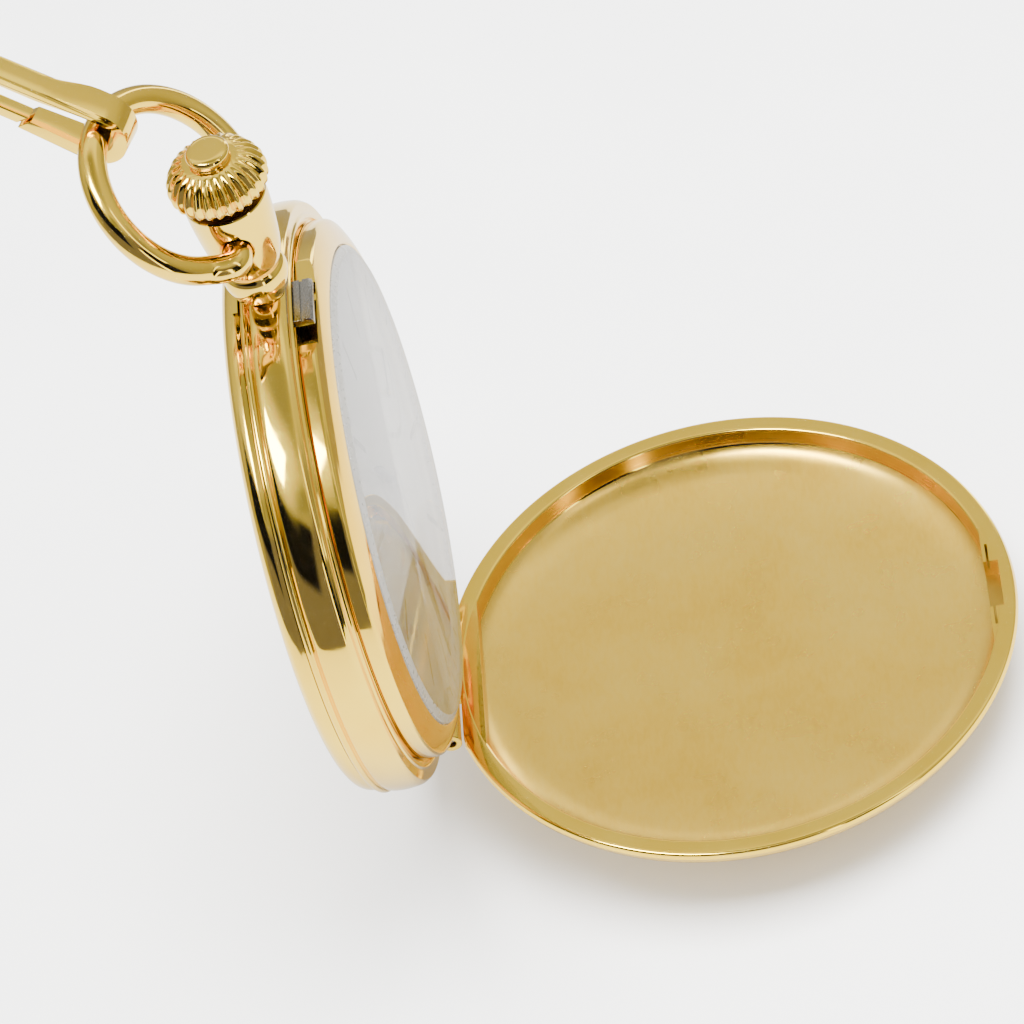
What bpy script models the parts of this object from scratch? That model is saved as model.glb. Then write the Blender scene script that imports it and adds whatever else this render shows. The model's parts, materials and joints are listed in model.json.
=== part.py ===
"""Hunter pocket watch: gold case with a sprung front cover, crown-wound movement, bow and swivel clip.

Everything is modelled on a bench, in millimetres, with the dial up (+Z), the pendant at +Y and the
hinges at -Y. The bench empty then stands the watch up: in the finished part +Z runs to the pendant,
the dial looks along -Y, and the units are metres. The origin is the middle of the case back.
"""
import math

import bpy
import bmesh
from mathutils import Matrix, Vector

# ---- driving dimensions, millimetres; H_ values are heights above the case back -----------------
CASE_R = 24.9            # front cover and case band outside radius
COVER_OPEN = 93.3        # opening angle of the front cover, degrees
BAND_BORE_R = 21.2       # the movement drops into this bore
H_BACK_SEAM = 2.2        # back cover meets the band
H_LEDGE = 6.35           # front ledge of the band: the front cover and the bezel sit on it
SEAT_GAP = 0.07          # gap left between pieces that touch
BEZEL_R = 22.9
CRYSTAL_R = 20.38
COVER_LIP_R = 23.05      # inside radius of the front cover's rim
HINGE_FLAT = 21.75       # flat inside the cover's rim, beside the hinge
LATCH_FLAT = 22.35       # flat inside the cover's rim, beside the catch

FRONT_HINGE = (-24.8, 6.5)    # y and height of the front cover's hinge axis
FRONT_KNUCKLE_R = 0.95
FRONT_HINGE_HALF = 7.6
BACK_HINGE = (-24.95, 2.25)
BACK_KNUCKLE_R = 0.75
BACK_HINGE_HALF = 5.0
CUVETTE_HINGE = (-22.8, 2.36)
CUVETTE_KNUCKLE_R = 0.42

H_STEM = 4.4             # axis of the stem, crown and pendant
PENDANT_TOP = 36.6
BOW_PIVOT_Y = 32.6
BOW_R = 7.53             # centre line of the bow
BOW_WIRE_R = 1.18
BOW_REACH = 6.06         # from the pivot to the middle of the bow's ring
BOW_TILT = math.radians(39.8)    # leaning back
BOW_TWIST = 0.24         # the ring sits a little askew on its pivots, radians
BOW_SHIFT = 1.39
CROWN_R = 4.15
CROWN_BASE = 37.25
CROWN_TOP = 41.5
CROWN_FLUTES = 28

PLATE_R = 20.9
H_PLATE = (4.9, 6.05)    # main plate
H_BRIDGE = (2.0, 2.8)    # barrel and train bridges
H_DIAL = (7.1, 7.45)
MINUTE_ANGLE = math.radians(289.0)     # hands, clockwise from twelve
HOUR_ANGLE = math.radians(54.0)
SECOND_ANGLE = math.radians(150.0)

# Movement pivots on the bench (x, y).
CENTRE = (0.0, 0.0)
BARREL = (-6.56, 3.79)
THIRD = (5.93, 3.79)
FOURTH = (10.5, 0.0)
ESCAPE = (10.03, -5.42)
PALLET = (7.0, -7.17)
BALANCE = (4.5, -12.0)
CROWN_WHEEL = (0.0, 10.0)
MINUTE_WHEEL = (-3.3, -2.4)
CLICK = (-13.1, 8.3)
BARREL_PILLARS = ((-14.5, 10.5), (-15.0, -3.5), (5.2, 16.6))
TRAIN_PILLARS = ((15.5, 8.5), (16.2, -7.2))
COCK_PILLAR = (-5.5, -15.5)
PALLET_PILLAR = (12.8, -10.6)
SCREW_R = 0.75
CASE_STEPS = 40          # facets round the large turned pieces

# Swivel clip: pull direction on the bench, and its section.
CLIP_PULL = Vector((0.34, 0.48, -0.81)).normalized()
CLIP_EYE_R = 1.62        # inside the nose, around the bow
CLIP_STRAP = 1.15        # thickness of the hook's strap
CLIP_WIDTH = 2.9         # at the nose
CLIP_BAR = 1.9           # behind the nose
CLIP_DROP = 0.7          # of the strap, towards the gate
CLIP_ARM = 20.5          # nose to the gate's pivot
CLIP_GATE_START = 6.3

# ---- scene -------------------------------------------------------------------------------------
for leftover in list(bpy.data.objects):
    bpy.data.objects.remove(leftover)

parts = bpy.data.collections.new("hunter_pocket_watch")
cutters = bpy.data.collections.new("cutters")
bpy.context.scene.collection.children.link(parts)
bpy.context.scene.collection.children.link(cutters)


def empty(name, location=(0, 0, 0), rotation=(0, 0, 0), parent=None):
    """A frame for the pieces that share an axis."""
    holder = bpy.data.objects.new(name, None)
    parts.objects.link(holder)
    holder.parent = parent
    holder.location = location
    holder.rotation_euler = rotation
    return holder


bench = empty("bench", rotation=(math.radians(90), 0, 0))
bench.scale = (0.001, 0.001, 0.001)


def material(name, colour, metallic, roughness, transmission=0.0):
    """One Principled material for a finish."""
    finish = bpy.data.materials.new(name)
    finish.use_nodes = True
    shader = finish.node_tree.nodes["Principled BSDF"]
    shader.inputs["Base Color"].default_value = (*colour, 1)
    shader.inputs["Metallic"].default_value = metallic
    shader.inputs["Roughness"].default_value = roughness
    shader.inputs["Transmission Weight"].default_value = transmission
    finish.diffuse_color = (*colour, 1)
    return finish


GOLD = ("gold", (0.83, 0.61, 0.27), 1.0, 0.12)
SATIN_GOLD = ("satin_gold", (0.80, 0.60, 0.28), 1.0, 0.35)
STEEL = ("steel", (0.56, 0.57, 0.58), 1.0, 0.2)
BLUED_STEEL = ("blued_steel", (0.03, 0.04, 0.09), 1.0, 0.25)
PLATED_BRASS = ("plated_brass", (0.74, 0.70, 0.60), 1.0, 0.35)
WHEEL_BRASS = ("wheel_brass", (0.78, 0.60, 0.28), 1.0, 0.3)
ENAMEL = ("dial_enamel", (0.86, 0.85, 0.80), 0.0, 0.35)
GLASS = ("crystal_glass", (0.95, 0.97, 0.97), 0.0, 0.02, 1.0)
RUBY = ("ruby", (0.45, 0.01, 0.06), 0.0, 0.1)


def finish_piece(piece, finish):
    """Gives a part its own material and smooth shading with sharp rims."""
    if piece.type == "MESH":
        piece.data.shade_smooth()
        piece.data.set_sharp_from_angle(angle=math.radians(35))
    piece.data.materials.append(material(piece.name + "_" + finish[0], *finish[1:]))


def place(name, data, finish, at, rotation, parent):
    """Links a part, or a helper shape when it has no finish."""
    piece = bpy.data.objects.new(name, data)
    (parts if finish else cutters).objects.link(piece)
    piece.parent = parent or bench
    piece.location = at
    piece.rotation_euler = rotation
    if finish:
        finish_piece(piece, finish)
    else:
        piece.hide_render = True
        piece.display_type = "WIRE"
    return piece


AXIS_X = (0, math.radians(90), 0)
AXIS_Y = (math.radians(-90), 0, 0)
AXIS_Z = (0, 0, 0)


def turned(name, profile, finish=None, at=(0, 0, 0), axis=AXIS_Z, steps=32, parent=None):
    """A turned piece: the profile (radius, height) runs down its outer side, about the local Z axis.

    A profile that starts and ends on the axis is solid; any other is closed into a ring.
    """
    closed = profile[0][0] > 0
    mesh = bpy.data.meshes.new(name)
    count = len(profile)
    edges = [(i, i + 1) for i in range(count - 1)] + ([(count - 1, 0)] if closed else [])
    mesh.from_pydata([(r, 0, h) for r, h in profile], edges, [])
    piece = place(name, mesh, finish, at, axis, parent)
    screw = piece.modifiers.new("turn", "SCREW")
    screw.axis = "Z"
    screw.angle = math.tau
    screw.steps = screw.render_steps = steps
    screw.use_merge_vertices = True
    screw.merge_threshold = 0.0001
    screw.use_smooth_shade = True
    return piece


def rod(name, radius, low, high, **where):
    """A plain cylinder between two heights on its own axis."""
    return turned(name, [(0, high), (radius, high), (radius, low), (0, low)], **where)


def tube(name, outer, inner, low, high, **where):
    """A plain tube between two heights on its own axis."""
    return turned(name, [(outer, high), (outer, low), (inner, low), (inner, high)], **where)


def block(name, low, high, finish=None, parent=None, axis=AXIS_Z, at=(0, 0, 0)):
    """A box between two corners."""
    shape = bmesh.new()
    bmesh.ops.create_cube(shape, size=1)
    size = [b - a for a, b in zip(low, high)]
    middle = [(a + b) / 2 for a, b in zip(low, high)]
    bmesh.ops.scale(shape, vec=size, verts=shape.verts)
    bmesh.ops.translate(shape, vec=middle, verts=shape.verts)
    mesh = bpy.data.meshes.new(name)
    shape.to_mesh(mesh)
    shape.free()
    return place(name, mesh, finish, at, axis, parent)


def arc(centre, radius, start, end, count):
    """Points on an arc; angles in degrees, anticlockwise from +X."""
    step = (end - start) / count
    angles = [math.radians(start + step * i) for i in range(count + 1)]
    return [(centre[0] + radius * math.cos(a), centre[1] + radius * math.sin(a)) for a in angles]


def circle(centre, radius, count=16):
    return arc(centre, radius, 0, 360, count)[:-1]


def plate(name, loops, low, high, finish=None, at=(0, 0, 0), axis=AXIS_Z, parent=None):
    """A flat piece cut from sheet: the first loop is its outline, the others are its holes."""
    curve = bpy.data.curves.new(name, "CURVE")
    curve.dimensions = "2D"
    curve.fill_mode = "BOTH"
    curve.extrude = (high - low) / 2
    for loop in loops:
        spline = curve.splines.new("POLY")
        spline.points.add(len(loop) - 1)
        for point, (x, y) in zip(spline.points, loop):
            point.co = (x, y, 0, 1)
        spline.use_cyclic_u = True
    sheet = bpy.data.objects.new(name + "_outline", curve)
    cutters.objects.link(sheet)
    mesh = solid_mesh(sheet, name)
    mesh.transform(Matrix.Translation((0, 0, (high + low) / 2)))
    return place(name, mesh, finish, at, axis, parent)


def solid_mesh(source, name):
    """The evaluated curve as a welded mesh; the curve is removed."""
    bpy.context.view_layer.update()
    evaluated = source.evaluated_get(bpy.context.evaluated_depsgraph_get())
    mesh = bpy.data.meshes.new_from_object(evaluated)
    mesh.name = name
    mesh.materials.clear()
    shape = bmesh.new()
    shape.from_mesh(mesh)
    bmesh.ops.remove_doubles(shape, verts=shape.verts, dist=0.0005)
    bmesh.ops.recalc_face_normals(shape, faces=shape.faces)
    shape.to_mesh(mesh)
    shape.free()
    bpy.data.objects.remove(source)
    return mesh


def wire(name, points, radius, finish=None, at=(0, 0, 0), parent=None, resolution=3, cyclic=False):
    """A round wire through the points, as a closed mesh."""
    curve = bpy.data.curves.new(name, "CURVE")
    curve.dimensions = "3D"
    curve.bevel_depth = radius
    curve.bevel_resolution = resolution
    curve.use_fill_caps = not cyclic
    spline = curve.splines.new("POLY")
    spline.points.add(len(points) - 1)
    for point, place_at in zip(spline.points, points):
        point.co = (*place_at, 1)
    spline.use_cyclic_u = cyclic
    holder = bpy.data.objects.new(name + "_wire", curve)
    cutters.objects.link(holder)
    mesh = solid_mesh(holder, name)
    return place(name, mesh, finish, at, AXIS_Z, parent)


def boolean(piece, other, operation):
    step = piece.modifiers.new(operation.lower() + "_" + other.name, "BOOLEAN")
    step.operation = operation
    step.object = other
    step.solver = "EXACT"


def cut(piece, *others):
    for other in others:
        boolean(piece, other, "DIFFERENCE")


def join(piece, *others):
    for other in others:
        boolean(piece, other, "UNION")


# ---- case --------------------------------------------------------------------------------------
def make_case_band():
    """Middle of the case: ledge, inside channel for the springs, pendant hole and fixed knuckles."""
    channel_r, channel_low, channel_high = 22.7, 2.9, 5.7
    outer = [
        (24.62, H_LEDGE), (24.92, 5.6), (25.04, 4.4), (24.96, 3.3), (24.74, 2.86), (24.92, 2.66), (24.92, 2.4),
        (24.6, H_BACK_SEAM),
    ]
    inner = [
        (22.75, H_BACK_SEAM), (22.75, 2.4), (BAND_BORE_R, 2.4), (BAND_BORE_R, channel_low),
        (channel_r, channel_low), (channel_r, channel_high), (BAND_BORE_R, channel_high),
        (BAND_BORE_R, H_LEDGE),
    ]
    band = turned("case_band", outer + inner, GOLD, steps=CASE_STEPS)

    y, h = FRONT_HINGE
    reach = FRONT_HINGE_HALF + 0.15
    shelf = block("front_hinge_shelf", (-reach, -30, h - 0.8), (reach, y + 1.0, 9))
    pocket = block("front_knuckle_pocket", (-2.62, -30, h - 1.1), (2.62, y + 1.1, 9))
    y, h = BACK_HINGE
    reach = BACK_HINGE_HALF + 0.1
    back_shelf = block("back_hinge_shelf", (-reach, -30, 0), (reach, y + 0.7, h + 0.65))
    back_pocket = block("back_knuckle_pocket", (-2.32, -30, 0), (2.32, y + 0.85, h + 0.85))
    y, h = CUVETTE_HINGE
    cuvette_pocket = block("cuvette_pocket", (-3.4, y - 0.5, 1), (3.4, y + 0.75, h + 0.5))
    cuvette_bore = rod("cuvette_pin_bore", 0.23, -4.0, 4.0, at=(0, y, h), axis=AXIS_X, steps=12)
    pendant_bore = rod("pendant_bore", 1.65, 20, 26, at=(0, 0, H_STEM), axis=AXIS_Y, steps=24)
    catch_slot = block("catch_slot", (-2.55, 21.65, 5.0), (2.55, 23.5, 8))
    cut(band, shelf, pocket, back_shelf, back_pocket, cuvette_pocket, cuvette_bore, pendant_bore, catch_slot)

    for side in (-1, 1):
        low, high = sorted((side * 2.7, side * FRONT_HINGE_HALF))
        knuckle = tube(f"front_fixed_knuckle_{side}", FRONT_KNUCKLE_R, 0.42, low, high,
                       at=(0, *FRONT_HINGE), axis=AXIS_X, steps=14)
        low, high = sorted((side * 2.4, side * BACK_HINGE_HALF))
        back_knuckle = tube(f"back_fixed_knuckle_{side}", BACK_KNUCKLE_R, 0.34, low, high,
                            at=(0, *BACK_HINGE), axis=AXIS_X, steps=12)
        join(band, knuckle, back_knuckle)


def make_pendant():
    """Pendant tube with its collar, the dished bow sockets and the crown's sleeve bore."""
    outer = [
        (3.42, PENDANT_TOP), (3.38, 34.6), (3.18, 32.2), (2.85, 29.9), (2.35, 28.5),
        (2.6, 27.9), (2.62, 26.8), (2.3, 25.8), (1.6, 25.15), (1.6, 23.75),
    ]
    inner = [(1.2, 23.75), (1.2, 35.9), (2.7, 35.9), (2.95, PENDANT_TOP)]
    pendant = turned("pendant", outer + inner, GOLD, at=(0, 0, H_STEM), axis=AXIS_Y, steps=24)
    for side in (-1, 1):
        low, high = sorted((side * 1.72, side * 6))
        socket = rod(f"bow_socket_{side}", BOW_WIRE_R + 0.07, low, high,
                     at=(0, BOW_PIVOT_Y, H_STEM), axis=AXIS_X, steps=20)
        dish_r = 2.3
        angles = [math.radians(180 - 22.5 * i) for i in range(9)]
        profile = [(dish_r * math.sin(a), -dish_r * math.cos(a)) for a in angles]
        profile[0], profile[-1] = (0, dish_r), (0, -dish_r)
        dish = turned(f"bow_dish_{side}", profile,
                      at=(side * 4.75, BOW_PIVOT_Y, H_STEM), axis=AXIS_X, steps=16)
        cut(pendant, socket, dish)


def segment(name, radius, flat, low, high, side, parent):
    """The slice of a disc beyond a straight edge, on the +Y or -Y side."""
    half = math.degrees(math.acos(flat / radius))
    middle = 90 * side
    outline = arc((0, 0), radius, middle - half, middle + half, 12)
    return plate(name, [outline], low, high, parent=parent)


def make_front_cover():
    """Front cover, modelled shut and then turned open about its hinge."""
    y, h = FRONT_HINGE
    hinge = empty("front_cover_hinge", (0, y, h), (math.radians(COVER_OPEN), 0, 0), bench)
    shut = empty("front_cover_shut", (0, -y, -h), parent=hinge)
    rim = H_LEDGE + SEAT_GAP
    outside = [
        (0, 10.6), (9, 10.45), (16, 10.0), (21, 9.3), (23.4, 8.6), (24.5, 7.8), (CASE_R, 6.9), (24.72, rim),
    ]
    inside = [
        (COVER_LIP_R + 0.1, rim), (COVER_LIP_R, 7.75), (22.7, 8.35), (20.6, 9.18), (15, 9.72), (8, 10.0),
        (0, 10.08),
    ]
    cover = turned("front_cover", outside + inside, GOLD, steps=CASE_STEPS, parent=shut)
    hinge_land = segment("hinge_land", 23.3, HINGE_FLAT, rim, 8.75, -1, shut)
    latch_land = segment("latch_land", 23.3, LATCH_FLAT, rim, 8.45, 1, shut)
    join(cover, hinge_land, latch_land)
    reach = FRONT_HINGE_HALF + 0.1
    hinge_cut = block("cover_hinge_cut", (-reach, -30, 0), (reach, y + 1.12, 20), parent=shut)
    latch_cut = block("cover_latch_cut", (-2.6, 21.5, 0), (2.6, 23.62, 8.22), parent=shut)
    cut(cover, hinge_cut, latch_cut)
    web = block("cover_web", (-2.45, y + 0.2, h + 0.3), (2.45, y + 1.7, h + 0.92), parent=shut)
    knuckle = rod("cover_knuckle", FRONT_KNUCKLE_R, -2.5, 2.5,
                  at=(0, y, h), axis=AXIS_X, steps=14, parent=shut)
    bore = rod("cover_knuckle_bore", 0.42, -3, 3, at=(0, y, h), axis=AXIS_X, steps=14, parent=shut)
    join(cover, web, knuckle)
    cut(cover, bore)
    rod("front_hinge_pin", 0.36, -FRONT_HINGE_HALF + 0.35, FRONT_HINGE_HALF - 0.35, finish=STEEL,
        at=(0, y, h), axis=AXIS_X, steps=12)


def make_back_cover():
    """Back cover with a flat resting face and its hinge knuckle."""
    y, h = BACK_HINGE
    hinge = empty("back_cover_hinge", (0, y, h), parent=bench)
    shut = empty("back_cover_shut", (0, -y, -h), parent=hinge)
    rim = H_BACK_SEAM - SEAT_GAP
    profile = [
        (0, 0.45), (9.5, 0.45), (20.4, 0.62), (22.2, 0.95), (23.1, 1.5), (23.1, rim), (24.5, rim),
        (24.55, 1.6), (24.2, 0.9), (23.2, 0.42), (20.8, 0.16), (15, 0.03), (9.5, 0), (0, 0),
    ]
    cover = turned("back_cover", profile, GOLD, steps=CASE_STEPS, parent=shut)
    reach = BACK_HINGE_HALF + 0.15
    hinge_cut = block("back_hinge_cut", (-reach, -30, -1), (reach, y + 1.0, 9), parent=shut)
    web = block("back_web", (-2.1, y + 0.2, 1.6), (2.1, y + 1.5, rim), parent=shut)
    knuckle = rod("back_knuckle", BACK_KNUCKLE_R, -2.2, 2.2,
                  at=(0, y, h), axis=AXIS_X, steps=12, parent=shut)
    bore = rod("back_knuckle_bore", 0.34, -3, 3, at=(0, y, h), axis=AXIS_X, steps=12, parent=shut)
    knuckle_room = block("cuvette_knuckle_room", (-2.0, -23.38, 1.7), (2.0, -22.2, 5), parent=shut)
    nail_lip = block("back_nail_lip", (-1.6, 24.2, rim - 0.4), (1.6, 24.85, rim), parent=shut)
    cut(cover, hinge_cut, knuckle_room)
    join(cover, web, knuckle, nail_lip)
    cut(cover, bore)
    rod("back_hinge_pin", 0.28, -BACK_HINGE_HALF + 0.2, BACK_HINGE_HALF - 0.2, finish=STEEL,
        at=(0, y, h), axis=AXIS_X, steps=12)


def make_cuvette():
    """Inner dust cover over the movement."""
    y, h = CUVETTE_HINGE
    hinge = empty("cuvette_hinge", (0, y, h), parent=bench)
    shut = empty("cuvette_shut", (0, -y, -h), parent=hinge)
    profile = [
        (0, 1.15), (12, 1.17), (17, 1.36), (20.6, 1.8), (21.2, 2.32), (22.5, 2.32), (22.55, 2.02),
        (20.8, 1.52), (17, 1.06), (12, 0.87), (0, 0.85),
    ]
    cuvette = turned("cuvette", profile, GOLD, steps=CASE_STEPS - 8, parent=shut)
    hinge_cut = block("cuvette_hinge_cut", (-3.3, -30, 0), (3.3, y + 0.62, 9), parent=shut)
    web = block("cuvette_web", (-1.7, y + 0.1, h - 0.35), (1.7, y + 1.1, h - 0.02), parent=shut)
    knuckle = rod("cuvette_knuckle", CUVETTE_KNUCKLE_R, -1.8, 1.8,
                  at=(0, y, h), axis=AXIS_X, steps=12, parent=shut)
    bore = rod("cuvette_knuckle_bore", 0.23, -3, 3, at=(0, y, h), axis=AXIS_X, steps=12, parent=shut)
    cut(cuvette, hinge_cut)
    join(cuvette, web, knuckle)
    cut(cuvette, bore)
    rod("cuvette_hinge_pin", 0.18, -3.85, 3.85, finish=STEEL, at=(0, y, h), axis=AXIS_X, steps=8)


def make_springs():
    """Lock spring with the catch that holds the cover, and the lift spring that throws it open."""
    bow_out = arc((0, 0), 22.3, 30, 150, 20) + arc((0, 0), 21.75, 150, 30, 20)
    lock = plate("lock_spring", [bow_out], 3.15, 5.45, STEEL)
    foot = block("catch_foot", (-2.3, 21.9, 5.1), (2.3, 23.2, 5.6))
    lug = block("catch_lug", (-2.3, 22.45, 5.2), (2.3, 23.2, 7.95))
    groove = block("catch_groove", (-3, 23.0, 6.9), (3, 24, 7.15))
    stem_hole = rod("lock_stem_hole", 0.8, 20, 25, at=(0, 0, H_STEM), axis=AXIS_Y, steps=16)
    join(lock, foot, lug)
    cut(lock, groove, stem_hole)
    strip = arc((0, 0), 22.35, 195, 345, 22) + arc((0, 0), 21.85, 345, 195, 22)
    plate("lift_spring", [strip], 3.2, 5.3, STEEL)


def make_bezel_and_crystal():
    """Bezel with flats at hinge and catch, and the raised flat crystal."""
    foot = H_LEDGE + SEAT_GAP
    profile = [
        (20.62, 8.74), (22.35, 8.2), (22.7, 8.05), (22.88, 7.8), (BEZEL_R, 7.5), (BEZEL_R, foot),
        (20.6, foot), (20.6, 7.6), (19.8, 8.0), (19.8, 8.36), (20.46, 8.36), (20.46, 8.66),
    ]
    bezel = turned("bezel", profile, GOLD, steps=CASE_STEPS)
    hinge_flat = block("bezel_hinge_flat", (-9, -30, 0), (9, -HINGE_FLAT + 0.12, 20))
    latch_flat = block("bezel_latch_flat", (-7, LATCH_FLAT - 0.12, 0), (7, 30, 20))
    window = block("bezel_catch_window", (-4.2, 21.55, 0), (2.7, 30, 8.02))
    cut(bezel, hinge_flat, latch_flat, window)
    glass = [(0, 9.15), (19.75, 9.15), (CRYSTAL_R, 8.82), (CRYSTAL_R, 8.43), (0, 8.43)]
    turned("crystal", glass, GLASS, steps=CASE_STEPS)


# ---- dial and hands ----------------------------------------------------------------------------
def clockwise(angle, along, across=0.0):
    """A point on the dial: along the hand at a clockwise angle from twelve, and across it."""
    direction = Vector((-math.cos(angle), math.sin(angle)))
    side = Vector((math.sin(angle), math.cos(angle)))
    point = direction * along + side * across
    return (point.x, point.y)


def make_dial():
    outline = [circle(CENTRE, 20.3, CASE_STEPS), circle(CENTRE, 1.25, 16), circle(FOURTH, 0.4, 10)]
    dial = plate("dial", outline, *H_DIAL, ENAMEL)
    sunk = rod("seconds_sink", 4.3, H_DIAL[1] - 0.06, 9, at=(*FOURTH, 0), steps=32)
    cut(dial, sunk)


def hand(name, angle, length, width, hub_r, bore_r, heights, at):
    """A leaf-shaped hand with a bored hub."""
    neck = 0.35
    hub = [clockwise(angle + neck + (math.tau - 2 * neck) * i / 10, hub_r) for i in range(11)]
    leaf = [clockwise(angle, length * f, -width * w) for f, w in ((0.3, 0.3), (0.55, 0.5), (0.8, 0.34))]
    tip = [clockwise(angle, length)]
    back = [clockwise(angle, length * f, width * w) for f, w in ((0.8, 0.34), (0.55, 0.5), (0.3, 0.3))]
    outline = hub + leaf + tip + back
    return plate(name, [outline, circle((0, 0), bore_r, 12)], *heights, BLUED_STEEL, at=(*at, 0))


def make_hands():
    hand("hour_hand", HOUR_ANGLE, 11.2, 1.5, 1.35, 1.02, (7.7, 7.88), CENTRE)
    hand("minute_hand", MINUTE_ANGLE, 16.8, 1.2, 1.1, 0.6, (8.05, 8.2), CENTRE)
    hand("seconds_hand", SECOND_ANGLE, 3.9, 0.35, 0.5, 0.24, (7.52, 7.62), FOURTH)


# ---- movement ----------------------------------------------------------------------------------
def screw(name, at, top, shank):
    """A slotted screw, head up towards the case back at the given height."""
    head = 0.35
    profile = [
        (0, top + head + shank), (0.32, top + head + shank), (0.32, top + head), (SCREW_R, top + head),
        (SCREW_R, top + 0.08), (SCREW_R - 0.08, top), (0, top),
    ]
    piece = turned(name, profile, BLUED_STEEL, at=(*at, 0), steps=12)
    slot = block(name + "_slot", (-1, -0.09, top - 1), (1, 0.09, top + 0.16),
                 at=(*at, 0), axis=(0, 0, math.radians(35)))
    cut(piece, slot)


def gear(teeth, tip, root):
    """Outline of a toothed wheel."""
    points = []
    shape = ((0.0, root), (0.5, tip)) if teeth > 24 else ((0.0, root), (0.38, tip), (0.62, tip))
    for tooth in range(teeth):
        for fraction, radius in shape:
            a = math.tau * (tooth + fraction) / teeth
            points.append((radius * math.cos(a), radius * math.sin(a)))
    return points


def crossings(count, inner, outer, spoke):
    """Openings between the spokes of a wheel."""
    openings = []
    for i in range(count):
        start, end = 360 / count * i, 360 / count * (i + 1)
        trim_out = math.degrees(spoke / 2 / outer)
        trim_in = math.degrees(spoke / 2 / inner)
        rim = arc((0, 0), outer, start + trim_out, end - trim_out, 4)
        hub = arc((0, 0), inner, end - trim_in, start + trim_in, 2)
        openings.append(rim + hub)
    return openings


def train_wheel(name, at, teeth, tip, wheel_h, leaves, pinion_tip, pinion_h, arbor_r, arbor_h, spokes=5):
    """A crossed wheel and its pinion on one arbor."""
    arbor = rod(name, arbor_r, *arbor_h, finish=WHEEL_BRASS, at=(*at, 0), steps=12)
    rim = [gear(teeth, tip, tip - 0.28)] + crossings(spokes, 1.25 if tip > 3 else 0.9, tip - 0.85, 0.45)
    disc = plate(name + "_disc", rim, *wheel_h, at=(*at, 0))
    leaf = plate(name + "_pinion", [gear(leaves, pinion_tip, pinion_tip * 0.72)], *pinion_h, at=(*at, 0))
    join(arbor, disc, leaf)


def make_main_plate():
    """Main plate with its pillars, the winding slot and the holes for the arbors."""
    main = rod("main_plate", PLATE_R, *H_PLATE, finish=PLATED_BRASS, steps=32)
    for i, at in enumerate(BARREL_PILLARS + TRAIN_PILLARS + (COCK_PILLAR,)):
        join(main, rod(f"pillar_{i}", 1.25, H_BRIDGE[1] + 0.05, 5.2, at=(*at, 0), steps=12))
    join(main, rod("pallet_pillar", 0.9, 4.1, 5.2, at=(*PALLET_PILLAR, 0), steps=12))
    slot = block("winding_slot", (-2.35, 8.9, 0), (2.35, 14.2, 9))
    stem_channel = rod("stem_channel", 0.75, 7, 30, at=(0, 0, H_STEM), axis=AXIS_Y, steps=12)
    centre_hole = rod("centre_hole", 1.0, 0, 9, at=(*CENTRE, 0), steps=12)
    fourth_hole = rod("fourth_hole", 0.35, 0, 9, at=(*FOURTH, 0), steps=10)
    cut(main, slot, stem_channel, centre_hole, fourth_hole)


def make_bridges():
    barrel_edge = arc((0, 0), 20.3, 72, 202, 22)
    barrel_outline = barrel_edge + [(-4.0, -4.6), (1.2, -2.2), (2.1, -0.9), (2.1, 1.2), (1.3, 2.6), (3.4, 9.0)]
    window = [(-2.4, 12.0), (2.4, 12.0), (2.4, 13.8), (-2.4, 13.8)]
    holes = [window, circle(BARREL, 1.05, 16), circle(CENTRE, 0.55, 12)]
    holes += [circle(p, 0.4, 10) for p in BARREL_PILLARS]
    plate("barrel_bridge", [barrel_outline] + holes, *H_BRIDGE, PLATED_BRASS)
    train_edge = arc((0, 0), 20.3, -33, 66, 18)
    train_outline = train_edge + [(4.4, 9.4), (3.0, 3.4), (3.4, -1.6), (7.6, -5.2), (8.6, -8.0), (12.0, -8.6)]
    holes = [circle(p, 0.72, 14) for p in (THIRD, FOURTH, ESCAPE)] + [circle(p, 0.4, 10) for p in TRAIN_PILLARS]
    plate("train_bridge", [train_outline] + holes, *H_BRIDGE, PLATED_BRASS)
    foot = arc((0, 0), 20.3, -121, -93, 6)
    nose = arc(BALANCE, 1.9, -75, 105, 8)
    cock_outline = foot + [(2.0, -14.6), (4.0, -13.9)] + nose + [(1.5, -11.2), (-6.5, -11.6), (-9.6, -14.2)]
    holes = [circle(BALANCE, 0.72, 14), circle(COCK_PILLAR, 0.4, 10)]
    plate("balance_cock", [cock_outline] + holes, *H_BRIDGE, PLATED_BRASS)
    along = Vector(PALLET_PILLAR) - Vector(PALLET)
    heading = math.degrees(math.atan2(along.y, along.x))
    bar = arc(PALLET_PILLAR, 1.0, heading - 90, heading + 90, 6) + arc(PALLET, 0.8, heading + 90, heading + 270, 6)
    plate("pallet_bridge", [bar, circle(PALLET, 0.22, 8), circle(PALLET_PILLAR, 0.4, 8)], 3.72, 4.05, PLATED_BRASS)


def make_screws_and_jewels():
    for i, at in enumerate(BARREL_PILLARS):
        screw(f"barrel_bridge_screw_{i + 1}", at, H_BRIDGE[0] - 0.4, 0.7)
    for i, at in enumerate(TRAIN_PILLARS):
        screw(f"train_bridge_screw_{i + 1}", at, H_BRIDGE[0] - 0.4, 0.7)
    screw("balance_cock_screw", COCK_PILLAR, H_BRIDGE[0] - 0.4, 0.7)
    for name, at in (("third", THIRD), ("fourth", FOURTH), ("escape", ESCAPE), ("balance", BALANCE)):
        tube(f"{name}_jewel", 0.68, 0.16, H_BRIDGE[0] - 0.05, H_BRIDGE[1] - 0.1,
             finish=RUBY, at=(*at, 0), steps=14)


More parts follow.
